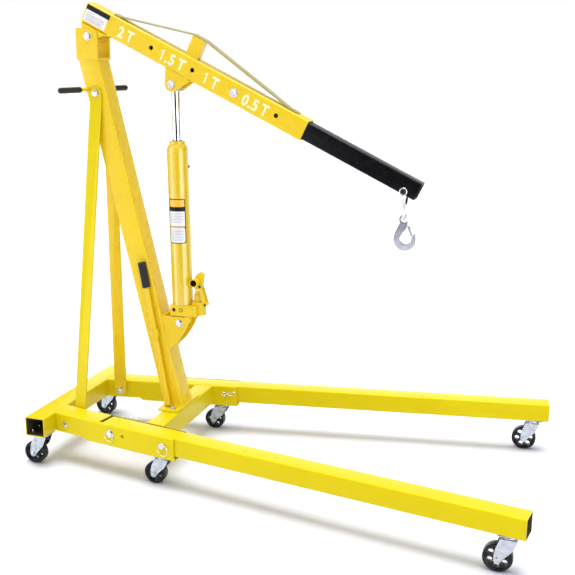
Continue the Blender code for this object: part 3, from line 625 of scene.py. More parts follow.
def side_channel(side):
    frame_at = arm_frame(side)
    half = ARM_WIDTH / 2
    inner = half - ARM_WALL
    floor = CHANNEL_BOTTOM + CHANNEL_FLOOR
    tall = FRAME_TOP - CHANNEL_BOTTOM
    middle = (FRAME_TOP + CHANNEL_BOTTOM) / 2
    along = move(ARM_LENGTH / 2 - 0.01, 0, 0)
    outer = plate([rounded(ARM_WIDTH, tall, 0.0055, (0, middle))], ARM_LENGTH + 0.02,
                  frame_at @ along @ ALONG_X)
    wide = half + 0.02
    under = [(-0.1, 0.05), (CHANNEL_START + 0.008, 0.05), (CHANNEL_START + 0.008, CHANNEL_BOTTOM),
             (CHANNEL_START, STUB_BOTTOM), (-0.1, STUB_BOTTOM)]
    mesh = cut(outer,
               plate([under], 2 * wide, frame_at @ ALONG_Y),
               block((-0.1, -0.2, 0), (GAP, 0.2, 0.3), move(0, side * 0.2, 0)))
    mesh = cut(mesh, block((STUB_LENGTH, -inner, floor), (ARM_LENGTH + 0.1, inner, 0.3), frame_at))
    mesh = cut(mesh, block((0.012, 0.001 - inner, STUB_BOTTOM + ARM_WALL),
                           (STUB_LENGTH + 0.01, inner - 0.001, FRAME_TOP - ARM_WALL), frame_at))
    mesh = cut(mesh, block((STUB_LENGTH + 0.002, GAP - inner, 0.05),
                           (FLOOR_CUTOUT_END, inner - GAP, 0.14), frame_at))
    holes = [(LEG_PIVOT, BOLT_HEIGHT, LARGE_HOLE), (SPARE_HOLE, BOLT_HEIGHT, SMALL_HOLE),
             (LOCK_PIN, BOLT_HEIGHT, SMALL_HOLE), (brace_foot(side).x, BRACE_FOOT.z, SMALL_HOLE)]
    mesh = cut(mesh, *[drill(x, z, radius, frame_at) for x, z, radius in holes])
    node = "side_channel_" + side_name(side)
    channel = piece(node + "_painted", mesh, [LEMON, INSIDE_SHADE], node=node, edge=0.0006)
    across = (INTO_CAD @ frame_at).to_3x3() @ Vector((0, 1, 0))
    middle_point = (INTO_CAD @ frame_at).translation

    def faces_middle(face):
        away = (face.center - middle_point).dot(across)
        return abs(away) < inner + 0.0005 and face.normal.dot(across) * away < -0.3 * abs(away)

    # painted shade: the channel's inner walls take the dark brown second material
    paint_shade_inside(channel, faces_middle)


def brace_foot(side):
    """Where a brace's foot bolt crosses the arm, in the arm's frame."""
    inside = arm_frame(side).inverted() @ Vector((BRACE_FOOT.x, side * 0.15, BRACE_FOOT.z))
    return Vector((inside.x, 0, inside.z))


def front_cross_beam():
    middle = ((BEAM_REAR + BEAM_FRONT) / 2, (FRAME_TOP + BEAM_BOTTOM) / 2)
    loops = tube_loops(BEAM_FRONT - BEAM_REAR, FRAME_TOP - BEAM_BOTTOM, TUBE_WALL, middle,
                       0.0055)
    mesh = plate(loops, 0.48, ALONG_Y)
    ends = []
    for side in (-1, 1):
        edge = side * (-ARM_WIDTH / 2 - GAP)
        low, high = sorted((edge, edge + side * 0.2))
        ends.append(block((0, low, 0), (0.8, high, 0.4), arm_frame(side)))
    piece("front_cross_beam_painted", cut(mesh, *ends), LEMON, node="front_cross_beam",
          edge=0.0006)
    for side in (-1, 1):
        at = arm_frame(side)
        inner = side * (-ARM_WIDTH / 2 - 0.0008)
        rear = at.inverted() @ Vector((BEAM_REAR, side * 0.18, 0))
        front = at.inverted() @ Vector((BEAM_FRONT, side * 0.18, 0))
        weld(f"beam_weld_{side_name(side)}",
             [(rear.x, inner, BEAM_BOTTOM), (rear.x, inner, FRAME_TOP - 0.004),
              (rear.x + 0.004, inner, FRAME_TOP + 0.0002),
              (front.x - 0.004, inner, FRAME_TOP + 0.0002), (front.x, inner, FRAME_TOP - 0.004),
              (front.x, inner, BEAM_BOTTOM)], "frame", 0.0024, at)


def leg(side):
    at = arm_frame(side)
    middle = FRAME_TOP - LEG_SIZE / 2
    loops = tube_loops(LEG_SIZE, LEG_SIZE, LEG_WALL, (0, middle), 0.0052)
    along = move((LEG_REAR + LEG_TIP) / 2, 0, 0)
    mesh = plate(loops, LEG_TIP - LEG_REAR, at @ along @ ALONG_X)
    slot = [(LOCK_PIN - SMALL_HOLE, 0.10), (LOCK_PIN + SMALL_HOLE, 0.10)]
    slot += arc((LOCK_PIN, BOLT_HEIGHT), SMALL_HOLE, 0, 180)
    mesh = cut(mesh, drill(LEG_PIVOT, BOLT_HEIGHT, LARGE_HOLE, at),
               plate([slot], 0.2, at @ ALONG_Y))
    node = "leg_" + side_name(side)
    tube = piece(node + "_painted", mesh, [LEMON, INSIDE_SHADE], node=node, edge=0.0006)
    paint_shade_inside(tube, tube_inside_shade(at @ Vector((0, 0, middle)), at.to_3x3() @ Vector((1, 0, 0))))


def leg_hardware(side):
    at = arm_frame(side)
    name = side_name(side)
    half = ARM_WIDTH / 2 + GAP
    outer_face = side * half
    cross_bolt("leg_pivot_bolt_" + name, (LEG_PIVOT, 0, BOLT_HEIGHT), half, 0.008, 0.0118, side, at)
    wire_ring(f"pivot_ring_{name}", (LEG_PIVOT - 0.002, outer_face + side * 0.0045,
                                     BOLT_HEIGHT - 0.0085), 0.0172, "frame", at)
    hairpin(f"pivot_clip_{name}", (LEG_PIVOT + 0.020, -outer_face - side * 0.009,
                                   FRAME_TOP - 0.012), "frame", at)

    start = move(LOCK_PIN, outer_face, BOLT_HEIGHT)
    reach = 2 * half + 0.016
    head = turned([(0, 0.010), (0.0062, 0.010), (0.0085, 0.0088), (0.0108, 0.0062),
                   (0.0112, 0.003), (0.0105, 0), (0.006, 0), (0.006, -reach + 0.004),
                   (0.0038, -reach), (0, -reach)], at @ start @ outward(side), 40)
    piece(f"lock_pin_{name}_turned", head, ZINC, node="lock_pin_" + name)
    wire_ring(f"lock_ring_{name}", (LOCK_PIN + 0.0062, outer_face + side * 0.0075,
                                    BOLT_HEIGHT - 0.0125), 0.0185, "lock_pin_" + name, at)
    hairpin(f"lock_clip_{name}", (LOCK_PIN, -outer_face - side * 0.009, BOLT_HEIGHT - 0.002),
            "lock_pin_" + name, at)


def brace_hardware(side):
    at = arm_frame(side)
    foot = brace_foot(side)
    inner = ARM_WIDTH / 2 + 0.012
    outer = ARM_WIDTH / 2 + GAP
    shift = Vector((0, side * (outer - inner) / 2, 0))
    cross_bolt("brace_foot_bolt_" + side_name(side), foot + shift, (inner + outer) / 2, 0.006,
               0.0100, side, at)


# ---- mast
def mast_front(height):
    """The x of the leaning mast's front face at a height."""
    return MAST_FRONT_FOOT - MAST_LEAN * (height - FRAME_TOP)


def mast():
    low = FOOT_PLATE_TOP + GAP
    mesh = plate(tube_loops(MAST_DEPTH, MAST_WIDTH, MAST_WALL), MAST_TOP - low, STILL)
    lean = Matrix.Identity(4)
    lean[0][2] = -MAST_LEAN
    middle = (low + MAST_TOP) / 2
    mesh.transform(move(mast_front(middle) - MAST_DEPTH / 2, 0, middle) @ lean)
    mesh = cut(mesh, drill(HANDLE_BAR_X, HANDLE_BAR_Z, SMALL_HOLE),
               drill(BRACE_TOP.x, BRACE_TOP.z, SMALL_HOLE))
    piece("mast_tube_painted", mesh, YELLOW, node="mast_tube", edge=0.0005)

    half_y = MAST_WIDTH / 2
    for name, level, lift, bead in (("foot", FOOT_PLATE_TOP, 0.0006, 0.003),
                                    ("head", MAST_TOP, -0.0004, 0.0022)):
        front = mast_front(level)
        rear = front - MAST_DEPTH
        corners = [(front, half_y), (rear, half_y), (rear, -half_y), (front, -half_y),
                   (front, half_y)]
        weld(f"mast_{name}_weld", [(x, y, level + lift) for x, y in corners], "frame", bead)
    for side in (-1, 1):
        at = move(0.3743, side * 0.0650, FOOT_PLATE_TOP)
        mesh = bolt_end(at, (0.0125, 0.004, 0.0015), (0.0105, 0.006))
        piece(f"mast_foot_bolt_{side_name(side)}", mesh, ZINC, "frame", edge=0.0003)


def push_handle():
    mesh = rod((HANDLE_BAR_X, -0.215, HANDLE_BAR_Z), (HANDLE_BAR_X, 0.215, HANDLE_BAR_Z), 0.006)
    piece("push_handle_bar_round", mesh, YELLOW, node="push_handle_bar", edge=0.0004)
    for side in (-1, 1):
        inner = move(HANDLE_BAR_X, side * 0.096, HANDLE_BAR_Z) @ outward(side)
        profile = [(0, 0.124), (0.0045, 0.1238), (0.0075, 0.1228), (0.0090, 0.1208)]
        ribs = 22
        for rib in range(ribs):
            high = 0.1185 - rib * (0.1115 / ribs)
            profile += [(0.0095, high), (0.0095, high - 0.0034), (0.0088, high - 0.0040),
                        (0.0088, high - 0.0047)]
        profile += [(0.0093, 0.0055), (0.0093, 0.002), (0.0085, 0), (0.0062, 0),
                    (0.0062, 0.1190), (0, 0.1190)]
        node = "push_grip_" + side_name(side)
        piece(node + "_ribbed", turned(profile, inner, 40), GRIP, node=node, angle=60)


# ---- casters
def caster(place, side, height, kingpin, spoke_angle, plate_body):
    radius = WHEEL_RADIUS[place]
    name = f"{place}_caster_{side_name(side)}"
    at = move(*kingpin[:2], 0)
    plate_low = height - GAP - 0.003
    refine(name + "_plate", FORK_ZINC, 0.0006)
    for index, (x, y) in enumerate(((-0.027, -0.020), (0.027, -0.020), (-0.027, 0.020),
                                    (0.027, 0.020))):
        under = at @ move(x, y, plate_low) @ Matrix.Rotation(math.pi, 4, "X")
        mesh = hexagon(0.0052, 0.0026, under)
        if place == "rear":
            over = move(x, y, STUB_BOTTOM + 0.0042)
            mesh = merged(mesh, hexagon(0.0055, 0.005, at @ over),
                          turned([(0, 0.010), (0.0026, 0.010), (0.003, 0.009), (0.003, 0),
                                  (0, 0)], at @ over, 20))
        piece(f"{name}_bolt_{index}", mesh, ZINC, plate_body, edge=0.0002)

    crown_top = plate_low - GAP
    race = [(0, crown_top), (0.0185, crown_top), (0.0225, crown_top - 0.0014),
            (0.0238, crown_top - 0.0040), (0.0232, crown_top - 0.0066),
            (0.0205, crown_top - 0.0080), (0, crown_top - 0.0080)]
    top = crown_top - 0.006
    arch = rounded(0.0450, 0.140, 0.006, (0, top - 0.070), 5)
    hollow = rounded(0.0398, 0.140, 0.0036, (0, top - 0.0726), 5)
    yoke = cut(plate([arch], 0.12, at @ ALONG_X), plate([hollow], 0.14, at @ ALONG_X))
    axle = (-CASTER_TRAIL, FLOOR + radius)
    outline = [(-0.0235, top + 0.001), (0.0215, top + 0.001), (0.0215, top - 0.008)]
    outline += [(0.0095, max(top - 0.036, axle[1] + 0.026)), (-0.0130, axle[1] + 0.0045)]
    outline += arc(axle, 0.0115, -12, -150, 12)
    outline += [(-0.0400, axle[1] + 0.012), (-0.0365, (top + axle[1]) / 2)]
    yoke = shaped(yoke, "INTERSECT", plate([outline], 0.10, at @ ALONG_Y))
    fork = [turned(race, at, 48), yoke]
    for hand in (-1, 1):
        boss = at @ move(axle[0], hand * 0.0225, axle[1]) @ outward(hand)
        rib = [(-0.0275, axle[1] + 0.013), (-0.0235, top - 0.012), (-0.0165, top - 0.012),
               (-0.0215, axle[1] + 0.013)]
        fork += [hexagon(0.0068, 0.0038, boss @ move(0, 0, 0.0006)),
                 washer(0.0080, 0.0030, 0.0009, boss),
                 plate([rib], 0.0016,
                       at @ move(0, hand * 0.0228, 0) @ ALONG_Y)]
    fork.append(rod((axle[0], -0.0245, axle[1]), (axle[0], 0.0245, axle[1]), 0.0042, at, 24))
    piece(f"{name}_fork_pressed", merged(*fork), FORK_ZINC, node=name + "_fork", edge=0.0006)

    tread = 0.0138
    hub = 0.0175
    web = 0.0075
    rim = radius - 0.0085
    shoulder = 0.0036
    profile = [(0.0049, hub), (0.0088, hub), (0.0096, hub - 0.001), (0.0112, web + 0.002),
               (0.0128, web), (rim - 0.0022, web), (rim - 0.0006, web + 0.0016),
               (rim, tread - 0.001), (rim + 0.001, tread)]
    profile += [(radius - shoulder + shoulder * math.sin(a), tread - shoulder
                 + shoulder * math.cos(a)) for a in (math.pi / 2 * step / 5 for step in range(6))]
    profile += [(r, -z) for r, z in reversed(profile)] + [(0.0049, hub)]
    spin = at @ move(axle[0], 0, axle[1]) @ Matrix.Rotation(math.pi / 2, 4, "X")
    wheel = turned(profile, spin, 72)
    ring = (0.0125 + rim) / 2 + 0.0006
    drills = []
    for hole in range(6):
        angle = math.radians(spoke_angle + 60 * hole)
        x, z = axle[0] + ring * math.cos(angle), axle[1] + ring * math.sin(angle)
        drills.append(rod((x, -0.03, z), (x, 0.03, z), (rim - 0.0125) * 0.40, at, 28))
    piece(f"{name}_wheel_moulded", cut(wheel, *drills), WHEEL, node=name + "_wheel",
          edge=0.0007)


def casters():
    for side, rear, middle, front in ((-1, 35, 17, 25), (1, 0, 4, 8)):
        at = arm_frame(side)
        caster("rear", side, STUB_BOTTOM, (-REAR_TUBE["depth"] / 2, side * 0.247), rear, "frame")
        caster("mid", side, CHANNEL_BOTTOM, at @ Vector((MID_KINGPIN, 0, 0)), middle, "frame")
        caster("front", side, FRAME_TOP - LEG_SIZE, at @ Vector((FRONT_KINGPIN, 0, 0)), front,
               "leg_" + side_name(side))


# ---- boom
def boom():
    middle = (0, -BOOM_HEIGHT / 2)
    loops = tube_loops(BOOM_WIDTH, BOOM_HEIGHT, TUBE_WALL, middle, 0.0058)
    along = move(BOOM_LENGTH / 2, 0, 0)
    mesh = plate(loops, BOOM_LENGTH, BOOM @ along @ ALONG_X)
    mesh = cut(mesh, *[drill(hole, middle[1], BOOM_HOLE, BOOM) for hole in BOOM_HOLES])
    tube = piece("boom_tube_painted", mesh, [YELLOW, INSIDE_SHADE], node="boom_tube", edge=0.0005)
    slope = BOOM.to_3x3() @ Vector((1, 0, 0))
    paint_shade_inside(tube, tube_inside_shade(BOOM @ Vector((0, 0, middle[1])), slope))
    for node in ("boom_pivot_lug", "boom_ram_bracket", "truss_post"):
        refine(node, YELLOW, 0.0009)
    refine("truss_strap", STRAP, 0.0009)
    under = -BOOM_HEIGHT - 0.0002
    for hand, side in (("left", 1), ("right", -1)):
        weld(f"ram_bracket_weld_{hand}",
             [(0.340, side * 0.0308, under), (0.428, side * 0.0308, under)], "boom", 0.0020, BOOM)
        weld(f"post_weld_{hand}", [(0.377, side * 0.0155, 0.0004), (0.419, side * 0.0155, 0.0004)],
             "boom", 0.0018, BOOM)
    for name, start in (("rear", 0.096), ("front", 0.800)):
        weld(f"strap_weld_{name}", [(start, -0.015, 0.001), (start, 0.015, 0.001)], "boom",
             0.0024, BOOM)


def boom_bolts():
    cross_bolt("boom_pivot_bolt", BOOM_PIVOT, 0.0435 + GAP, 0.008, 0.0122)
    cross_bolt("brace_top_bolt", BRACE_TOP, MAST_WIDTH / 2 + 0.006 + 2 * GAP, 0.006, 0.0116)
    cross_bolt("ram_foot_bolt", RAM_FOOT, 0.038 + GAP, 0.008, 0.0118)
    wall = BOOM_WIDTH / 2 + GAP
    near, far = [BOOM @ move(RAM_EYE_ALONG, side * wall, -RAM_EYE_DOWN)
                 @ outward(side) for side in (-1, 1)]
    ring = (0.0135, 0.008, 0.0015)
    shank = [(0, 0), (0.008, 0), (0.008, -0.0055), (0, -0.0055)]
    piece("ram_top_bolt_hex", bolt_end(near, ring, (0.0118, 0.006), shank), ZINC,
          node="ram_top_bolt", edge=0.0003)
    tip = [(0, 0.009), (0.007, 0.009), (0.0078, 0.008), (0.0078, -0.0055), (0, -0.0055)]
    piece("ram_top_nut", bolt_end(far, ring, (0.0118, 0.0055), tip, 24), ZINC, "boom",
          edge=0.0003)

    near, far = [BOOM @ move(BOOM_HOLES[2], side * wall, -BOOM_HEIGHT / 2)
                 @ outward(side) for side in (-1, 1)]
    ring = (0.0145, 0.0066, 0.0018)
    head = (0.0098, 0.0062)
    shank = [(0, 0), (0.0066, 0), (0.0066, -0.0042), (0, -0.0042)]
    piece("extension_bolt_hex", bolt_end(near, ring, head, shank), ZINC, node="extension_bolt",
          edge=0.0004)
    tip = [(0, 0.0105), (0.0055, 0.0105), (0.0062, 0.0095), (0.0062, 0), (0, 0)]
    piece("extension_nut", bolt_end(far, ring, head, tip, 24), ZINC, "extension_bolt",
          edge=0.0004)


def extension():
    middle = (0, -BOOM_HEIGHT / 2)
    loops = tube_loops(*EXTENSION_SIZE, 0.0035, middle, 0.005)
    length = EXTENSION_TIP - EXTENSION_REAR
    along = move(EXTENSION_REAR + length / 2, 0, 0)
    mesh = plate(loops, length, BOOM @ along @ ALONG_X)
    mesh = cut(mesh, drill(BOOM_HOLES[2], middle[1], BOOM_HOLE, BOOM),
               drill(SHACKLE_ALONG, -SHACKLE_DOWN, 0.0056, BOOM))
    piece("boom_extension_painted", mesh, BLACK, node="boom_extension", edge=0.0005)


# ---- markings, labels
FIGURE_HEIGHT = 0.0350
FIGURE_FOOT = -0.0535
SQUEEZE = {"1": 0.80, ".": 0.90}
ONE = ((-0.06, 0), (0.10, 0), (0.10, 1.0), (-0.03, 1.0), (-0.26, 0.84), (-0.26, 0.68),
       (-0.06, 0.80))


def mark(name, figures):
    """Capacity figures as flat paint, set one by one along the boom."""
    meshes = []
    for text, along in figures:
        squeeze = SQUEEZE.get(text, 0.85)
        at = BOOM @ move(along, -BOOM_WIDTH / 2 - 0.00022, FIGURE_FOOT)
        if text == "1":
            outline = [(x * FIGURE_HEIGHT * squeeze, z * FIGURE_HEIGHT) for x, z in ONE]
            meshes.append(plate([outline], 0.00024, at @ ALONG_Y))
            continue
        curve = bpy.data.curves.new("figure", "FONT")
        curve.body = text
        curve.size = FIGURE_HEIGHT / 0.70
        curve.align_x = "CENTER"
        curve.extrude = 0.00012
        curve.offset = FIGURE_HEIGHT * 0.040
        curve.resolution_u = 6
        mesh = settled(bpy.data.objects.new("figure", curve))
        mesh.transform(at @ Matrix.Rotation(math.pi / 2, 4, "X")
                       @ Matrix.Diagonal((squeeze, 1, 1, 1)))
        meshes.append(mesh)
    piece(name, merged(*meshes), MARKING, "boom", angle=30)


def capacity_marks():
    mark("capacity_2t", [("2", 0.1480), ("T", 0.1830)])
    mark("capacity_1_5t", [("1", 0.3105), (".", 0.3290), ("5", 0.3480), ("T", 0.3835)])
    mark("capacity_1t", [("1", 0.4780), ("T", 0.5130)])
    mark("capacity_0_5t", [("0", 0.6290), (".", 0.6480), ("5", 0.6660), ("T", 0.7010)])


def sticker(name, outline, offset, finish):
    """A flat sticker on the boom's near side."""
    at = BOOM @ move(0, -BOOM_WIDTH / 2 - offset, 0) @ ALONG_Y
    piece(name, plate([outline], 0.0002, at), finish, "boom", angle=20)


def rear_label():
    def area(left, right, low, high, corner=0.0006):
        centre = ((left + right) / 2, (low + high) / 2)
        return rounded(right - left, high - low, corner, centre, 3)

    sticker("rear_label", area(0.0045, 0.0885, -0.0600, -0.0075), 0.00012, VINYL)
    sticker("rear_label_band", area(0.0020, 0.0930, -0.0215, -0.0055), 0.00024, PRINT_BLACK)
    rules = ((0.038, -0.0285), (0.080, -0.0345), (0.080, -0.0385), (0.080, -0.0425),
             (0.080, -0.0475), (0.074, -0.0515), (0.078, -0.0555))
    for index, (right, low) in enumerate(rules):
        sticker(f"rear_label_rule_{index}", area(0.010, right, low, low + 0.0016, 0.0004),
                0.00024, PRINT_GREY)


def wrapped(name, left, right, low, high, radius, finish, corner=0.0):
    """A sticker wrapped round the ram, between two angles (degrees) and heights."""
    build = bmesh.new()
    columns = 28
    outer = []
    inner = []
    for column in range(columns + 1):
        share = column / columns
        angle = math.radians(left + (right - left) * share)
        from_edge = min(share, 1 - share) * math.radians(abs(right - left)) * radius
        trim = 0.0
        if from_edge < corner:
            trim = corner - math.sqrt(max(corner ** 2 - (corner - from_edge) ** 2, 0))
        for depth, rows in ((radius, outer), (radius - 0.00025, inner)):
            spot = Vector((depth * math.cos(angle), depth * math.sin(angle), 0))
            rows.append([build.verts.new(spot + Vector((0, 0, z)))
                         for z in (low + trim, high - trim)])
    for rows in (outer, inner):
        for first, second in zip(rows, rows[1:]):
            build.faces.new((first[0], second[0], second[1], first[1]))
    for end in (0, 1):
        for column in range(columns):
            build.faces.new((outer[column][end], outer[column + 1][end],
                             inner[column + 1][end], inner[column][end]))
    for column in (0, columns):
        build.faces.new((outer[column][0], outer[column][1], inner[column][1],
                         inner[column][0]))
    build.transform(RAM)
    piece(name, finished(build), finish, "ram_body", angle=20)


def ram_label():
    left, right = -134, -33
    low = 0.7775 - RAM_FOOT_HEIGHT
    high = 0.9290 - RAM_FOOT_HEIGHT
    skin = 0.0362
    edge = 0.0030
    inset = 5.4
    head = high - 0.0273
    band = head - 0.0154
    rule = low + 0.0534
    inside = dict(left=left + inset, right=right - inset, radius=skin + 0.00015)
    wrapped("ram_label_border", left, right, low, high, skin, PRINT_BLACK, 0.006)
    wrapped("ram_label_head", low=head, high=high - edge, finish=YELLOW_MARK, **inside)
    wrapped("ram_label_upper", low=rule + 0.0058, high=band, finish=VINYL, **inside)
    wrapped("ram_label_line", low=rule + 0.0012, high=rule + 0.0046, finish=YELLOW_MARK, **inside)
    wrapped("ram_label_lower", low=low + edge, high=rule, finish=VINYL, corner=0.005, **inside)
    rules = [band - 0.0060 - 0.0052 * step for step in range(7)]
    rules += [rule - 0.0070 - 0.0052 * step for step in range(8)]
    for index, height in enumerate(rules):
        short = 20 if index in (0, 6, 14) else 11
        wrapped(f"ram_label_rule_{index}", left + 12, right - short, height - 0.0007,
                height + 0.0007, skin + 0.00030, PRINT_GREY)


# ---- shackle and hook
def forged(mesh, voxel, rounds):
    """A bar-and-plate shape worn round, as if drop forged."""
    helper = bpy.data.objects.new("blank", mesh)
    remesh = helper.modifiers.new("remesh", "REMESH")
    remesh.mode = "VOXEL"
    remesh.voxel_size = voxel
    smooth = helper.modifiers.new("smooth", "SMOOTH")
    smooth.factor = 0.5
    smooth.iterations = rounds
    return settled(helper)


def hook_set():
    pin = BOOM @ Vector((SHACKLE_ALONG, 0, -SHACKLE_DOWN))
    at = Matrix.Translation(pin)
    ear = 0.0325
    start = at @ move(0, -ear - 0.0045, 0) @ outward(-1)
    span = 2 * (ear + 0.0045)
    mesh = merged(turned([(0, 0.0042), (0.0060, 0.0042), (0.0072, 0.0034), (0.0076, 0.0012),
                          (0.0072, 0), (0.005, 0), (0.005, -span), (0, -span)], start, 40),
                  hexagon(0.0088, 0.005, start @ move(0, 0, -span)
                          @ Matrix.Rotation(math.pi, 4, "X")))
    piece("shackle_pin_turned", mesh, DARK_STEEL, node="shackle_pin", edge=0.0003)

    drop = 0.0885
    low = 0.0125
    side_run = [(0, ear, -0.0085), (0, ear, -0.018), (0, 0.0300, -0.028), (0, 0.0225, -0.038),
                (0, 0.0165, -0.048), (0, low + 0.0006, -0.062)]
    bottom = [(0, low * math.cos(a), -drop + low - low * math.sin(a))
              for a in (math.pi * step / 12 for step in range(13))]
    route = smooth_path(side_run, 5) + [Vector(p) for p in bottom]
    route += [Vector((x, -y, z)) for x, y, z in reversed(smooth_path(side_run, 5))]
    shackle = bar(route, 0.0044, at)
    rings = [turned([(0.0060, 0.0032), (0.0072, 0.0042), (0.0115, 0.0042), (0.0128, 0.0030),
                     (0.0130, 0), (0.0128, -0.0030), (0.0115, -0.0042), (0.0072, -0.0042),
                     (0.0060, -0.0032), (0.0060, 0.0032)],
                    at @ move(0, side * ear, 0) @ ALONG_Y, 40)
             for side in (-1, 1)]
    piece("shackle_forged", shaped(shackle, "UNION", *rings), ZINC, node="shackle", angle=50)
    hook_body(pin + Vector((0, 0, -drop)))


def hook_body(hang):
    """The forged hook and its pressed latch, hanging from a point in the shackle."""
    eye = hang + Vector((0, 0, -0.0030))
    outer = arc((0, 0), 0.0165, 60, 212, 24)
    outer += [(-0.0185, -0.0200), (-0.0225, -0.0300), (-0.0285, -0.0440)]
    outer += arc((0.004, -0.0630), 0.0365, 165, 345, 40)
    outer += [(0.0402, -0.0620), (0.0394, -0.0510), (0.0364, -0.0410), (0.0340, -0.0400),
              (0.0312, -0.0450), (0.0272, -0.0520)]
    outer += arc((0.0068, -0.0605), 0.0176, 15, -190, 36)
    outer += [(-0.0065, -0.0510), (-0.0020, -0.0420), (0.0060, -0.0330), (0.0110, -0.0230),
              (0.0135, -0.0120)]
    hole = circle((0, 0), 0.0088, 40)
    blank = plate([outer, hole], 0.0115, Matrix.Translation(eye) @ ALONG_Y)
    piece("hook_forged", forged(blank, 0.0008, 14), ZINC, node="hook", angle=70)

    hinge = eye + Vector((0.0152, 0, -0.0235))
    latch = arc((0, 0), 0.0034, 10, 190, 12) + [(0.0085, -0.0285), (0.0128, -0.0270)]
    at = Matrix.Translation(hinge) @ ALONG_Y
    cheeks = [plate([latch], 0.0012, move(0, side * 0.0046, 0) @ at)
              for side in (-1, 1)]
    back = plate([[(0.0030, 0.0005), (0.0128, -0.0262), (0.0118, -0.0266), (0.0020, 0.0001)]],
                 0.0092, at)
    pivot = rod((0, -0.0062, 0), (0, 0.0062, 0), 0.0018, Matrix.Translation(hinge), 20)
    piece("hook_latch_pressed", merged(*cheeks, back, pivot), ZINC, node="hook_latch",
          edge=0.0002)


# ---- ram
def ram():
    body = plate([rounded(0.100, 0.073, 0.010, (0.013, 0))], 0.036,
                 RAM @ move(0, 0, 0.0435))
    lug = [(-0.020, 0.030), (-0.020, 0.0)] + arc((0, 0), 0.020, 180, 360, 24) + [(0.020, 0.030)]
    pump_end = plate([rounded(0.046, 0.040, 0.012, (0.060, 0))], 0.046,
                     RAM @ move(0, 0, 0.0495))
    body = shaped(body, "UNION", plate([lug], 0.060, RAM @ ALONG_Y), pump_end)
    body = cut(body, drill(0, 0, LARGE_HOLE, RAM),
               rod((PUMP_ALONG, 0, 0.040), (PUMP_ALONG, 0, 0.09), LARGE_HOLE, RAM),
               rod((-0.019, -0.06, VALVE_HEIGHT), (-0.019, -0.0330, VALVE_HEIGHT), 0.0068, RAM))
    piece("ram_base_block_cast", body, YELLOW, node="ram_base_block", edge=0.0016, steps=3)
    valve = RAM @ move(-0.019, -0.0340, VALVE_HEIGHT) @ outward(-1)
    head = turned([(0, 0.0022), (0.0056, 0.0022), (0.0065, 0.0014), (0.0065, -0.003),
                   (0, -0.003)], valve, 32)
    slot = block((-0.0008, -0.0060, 0.0010), (0.0008, 0.0060, 0.0040), valve)
    piece("release_valve", cut(head, slot), DARK_STEEL, "ram_body", edge=0.0002)
    plug = RAM @ move(0.007, -0.0364, VALVE_HEIGHT) @ outward(-1)
    piece("valve_plug", turned([(0.0050, 0.0), (0.0050, 0.0005), (0.0060, 0.0011),
                                (0.0064, 0.0011), (0.0070, 0.0004), (0.0070, -0.0004),
                                (0.0050, -0.0004), (0.0050, 0.0)], plug, 32), DARK_STEEL,
          "ram_body")
    piece("valve_plug_face", turned([(0, 0.0009), (0.0040, 0.0009), (0.0048, 0.0004),
                                     (0.0048, -0.0004), (0, -0.0004)], plug, 32), YELLOW,
          "ram_body")

    low = 0.0615 + GAP
    shoulder = 0.602
    mouth = 0.620
    bore = 0.0150
    profile = [(bore, mouth), (0.0242, mouth), (0.0258, mouth - 0.0010),
               (0.0267, mouth - 0.0030), (0.0267, mouth - 0.0080), (0.0256, mouth - 0.0092),
               (0.0257, mouth - 0.0105), (0.0285, mouth - 0.0125), (0.0310, shoulder + 0.0010),
               (0.0332, shoulder - 0.0024), (0.0348, shoulder - 0.0060),
               (0.0357, shoulder - 0.0100), (0.0360, shoulder - 0.0145), (0.0360, low + 0.0050),
               (0.0363, low + 0.0030), (0.0364, low), (0.010, low), (0.010, low + 0.006),
               (0.0320, low + 0.006), (0.0320, shoulder - 0.018), (bore, shoulder - 0.018),
               (bore, mouth)]
    piece("ram_cylinder_turned", turned(profile, RAM, 96), RAM_PAINT, node="ram_cylinder",
          angle=25)
    seal = [(0.0147, mouth + 0.0016), (0.0170, mouth + 0.0016), (0.0178, mouth + 0.0008),
            (0.0178, mouth - 0.0006), (0.0147, mouth - 0.0006), (0.0147, mouth + 0.0016)]
    piece("ram_wiper", turned(seal, RAM, 48), GRIP, "ram_body")
    filler = (RAM @ move(0, 0, 1.0335 - RAM_FOOT_HEIGHT)
              @ Matrix.Rotation(math.radians(12), 4, "Z") @ move(0.0353, 0, 0)
              @ Matrix.Rotation(math.pi / 2, 4, "Y"))
    piece("filler_plug", turned([(0, 0.0042), (0.0028, 0.0040), (0.0046, 0.0028),
                                 (0.0052, 0.0012), (0.0052, 0), (0, 0)], filler, 32), GRIP,
          "ram_body")

    rod_low = low + 0.090
    shaft = turned([(0, RAM_LENGTH - 0.012), (0.0143, RAM_LENGTH - 0.012), (0.0143, rod_low),
                    (0, rod_low)], RAM, 64)
    eye = arc((0, RAM_LENGTH), 0.0175, 0, 180, 24) + [(-0.0175, RAM_LENGTH - 0.022),
                                                       (0.0175, RAM_LENGTH - 0.022)]
    head = plate([eye, circle((0, RAM_LENGTH), 0.0085)], 0.030, RAM @ ALONG_Y)
    piece("ram_rod_chromed", shaped(shaft, "UNION", head), CHROME, node="ram_rod", edge=0.0006)


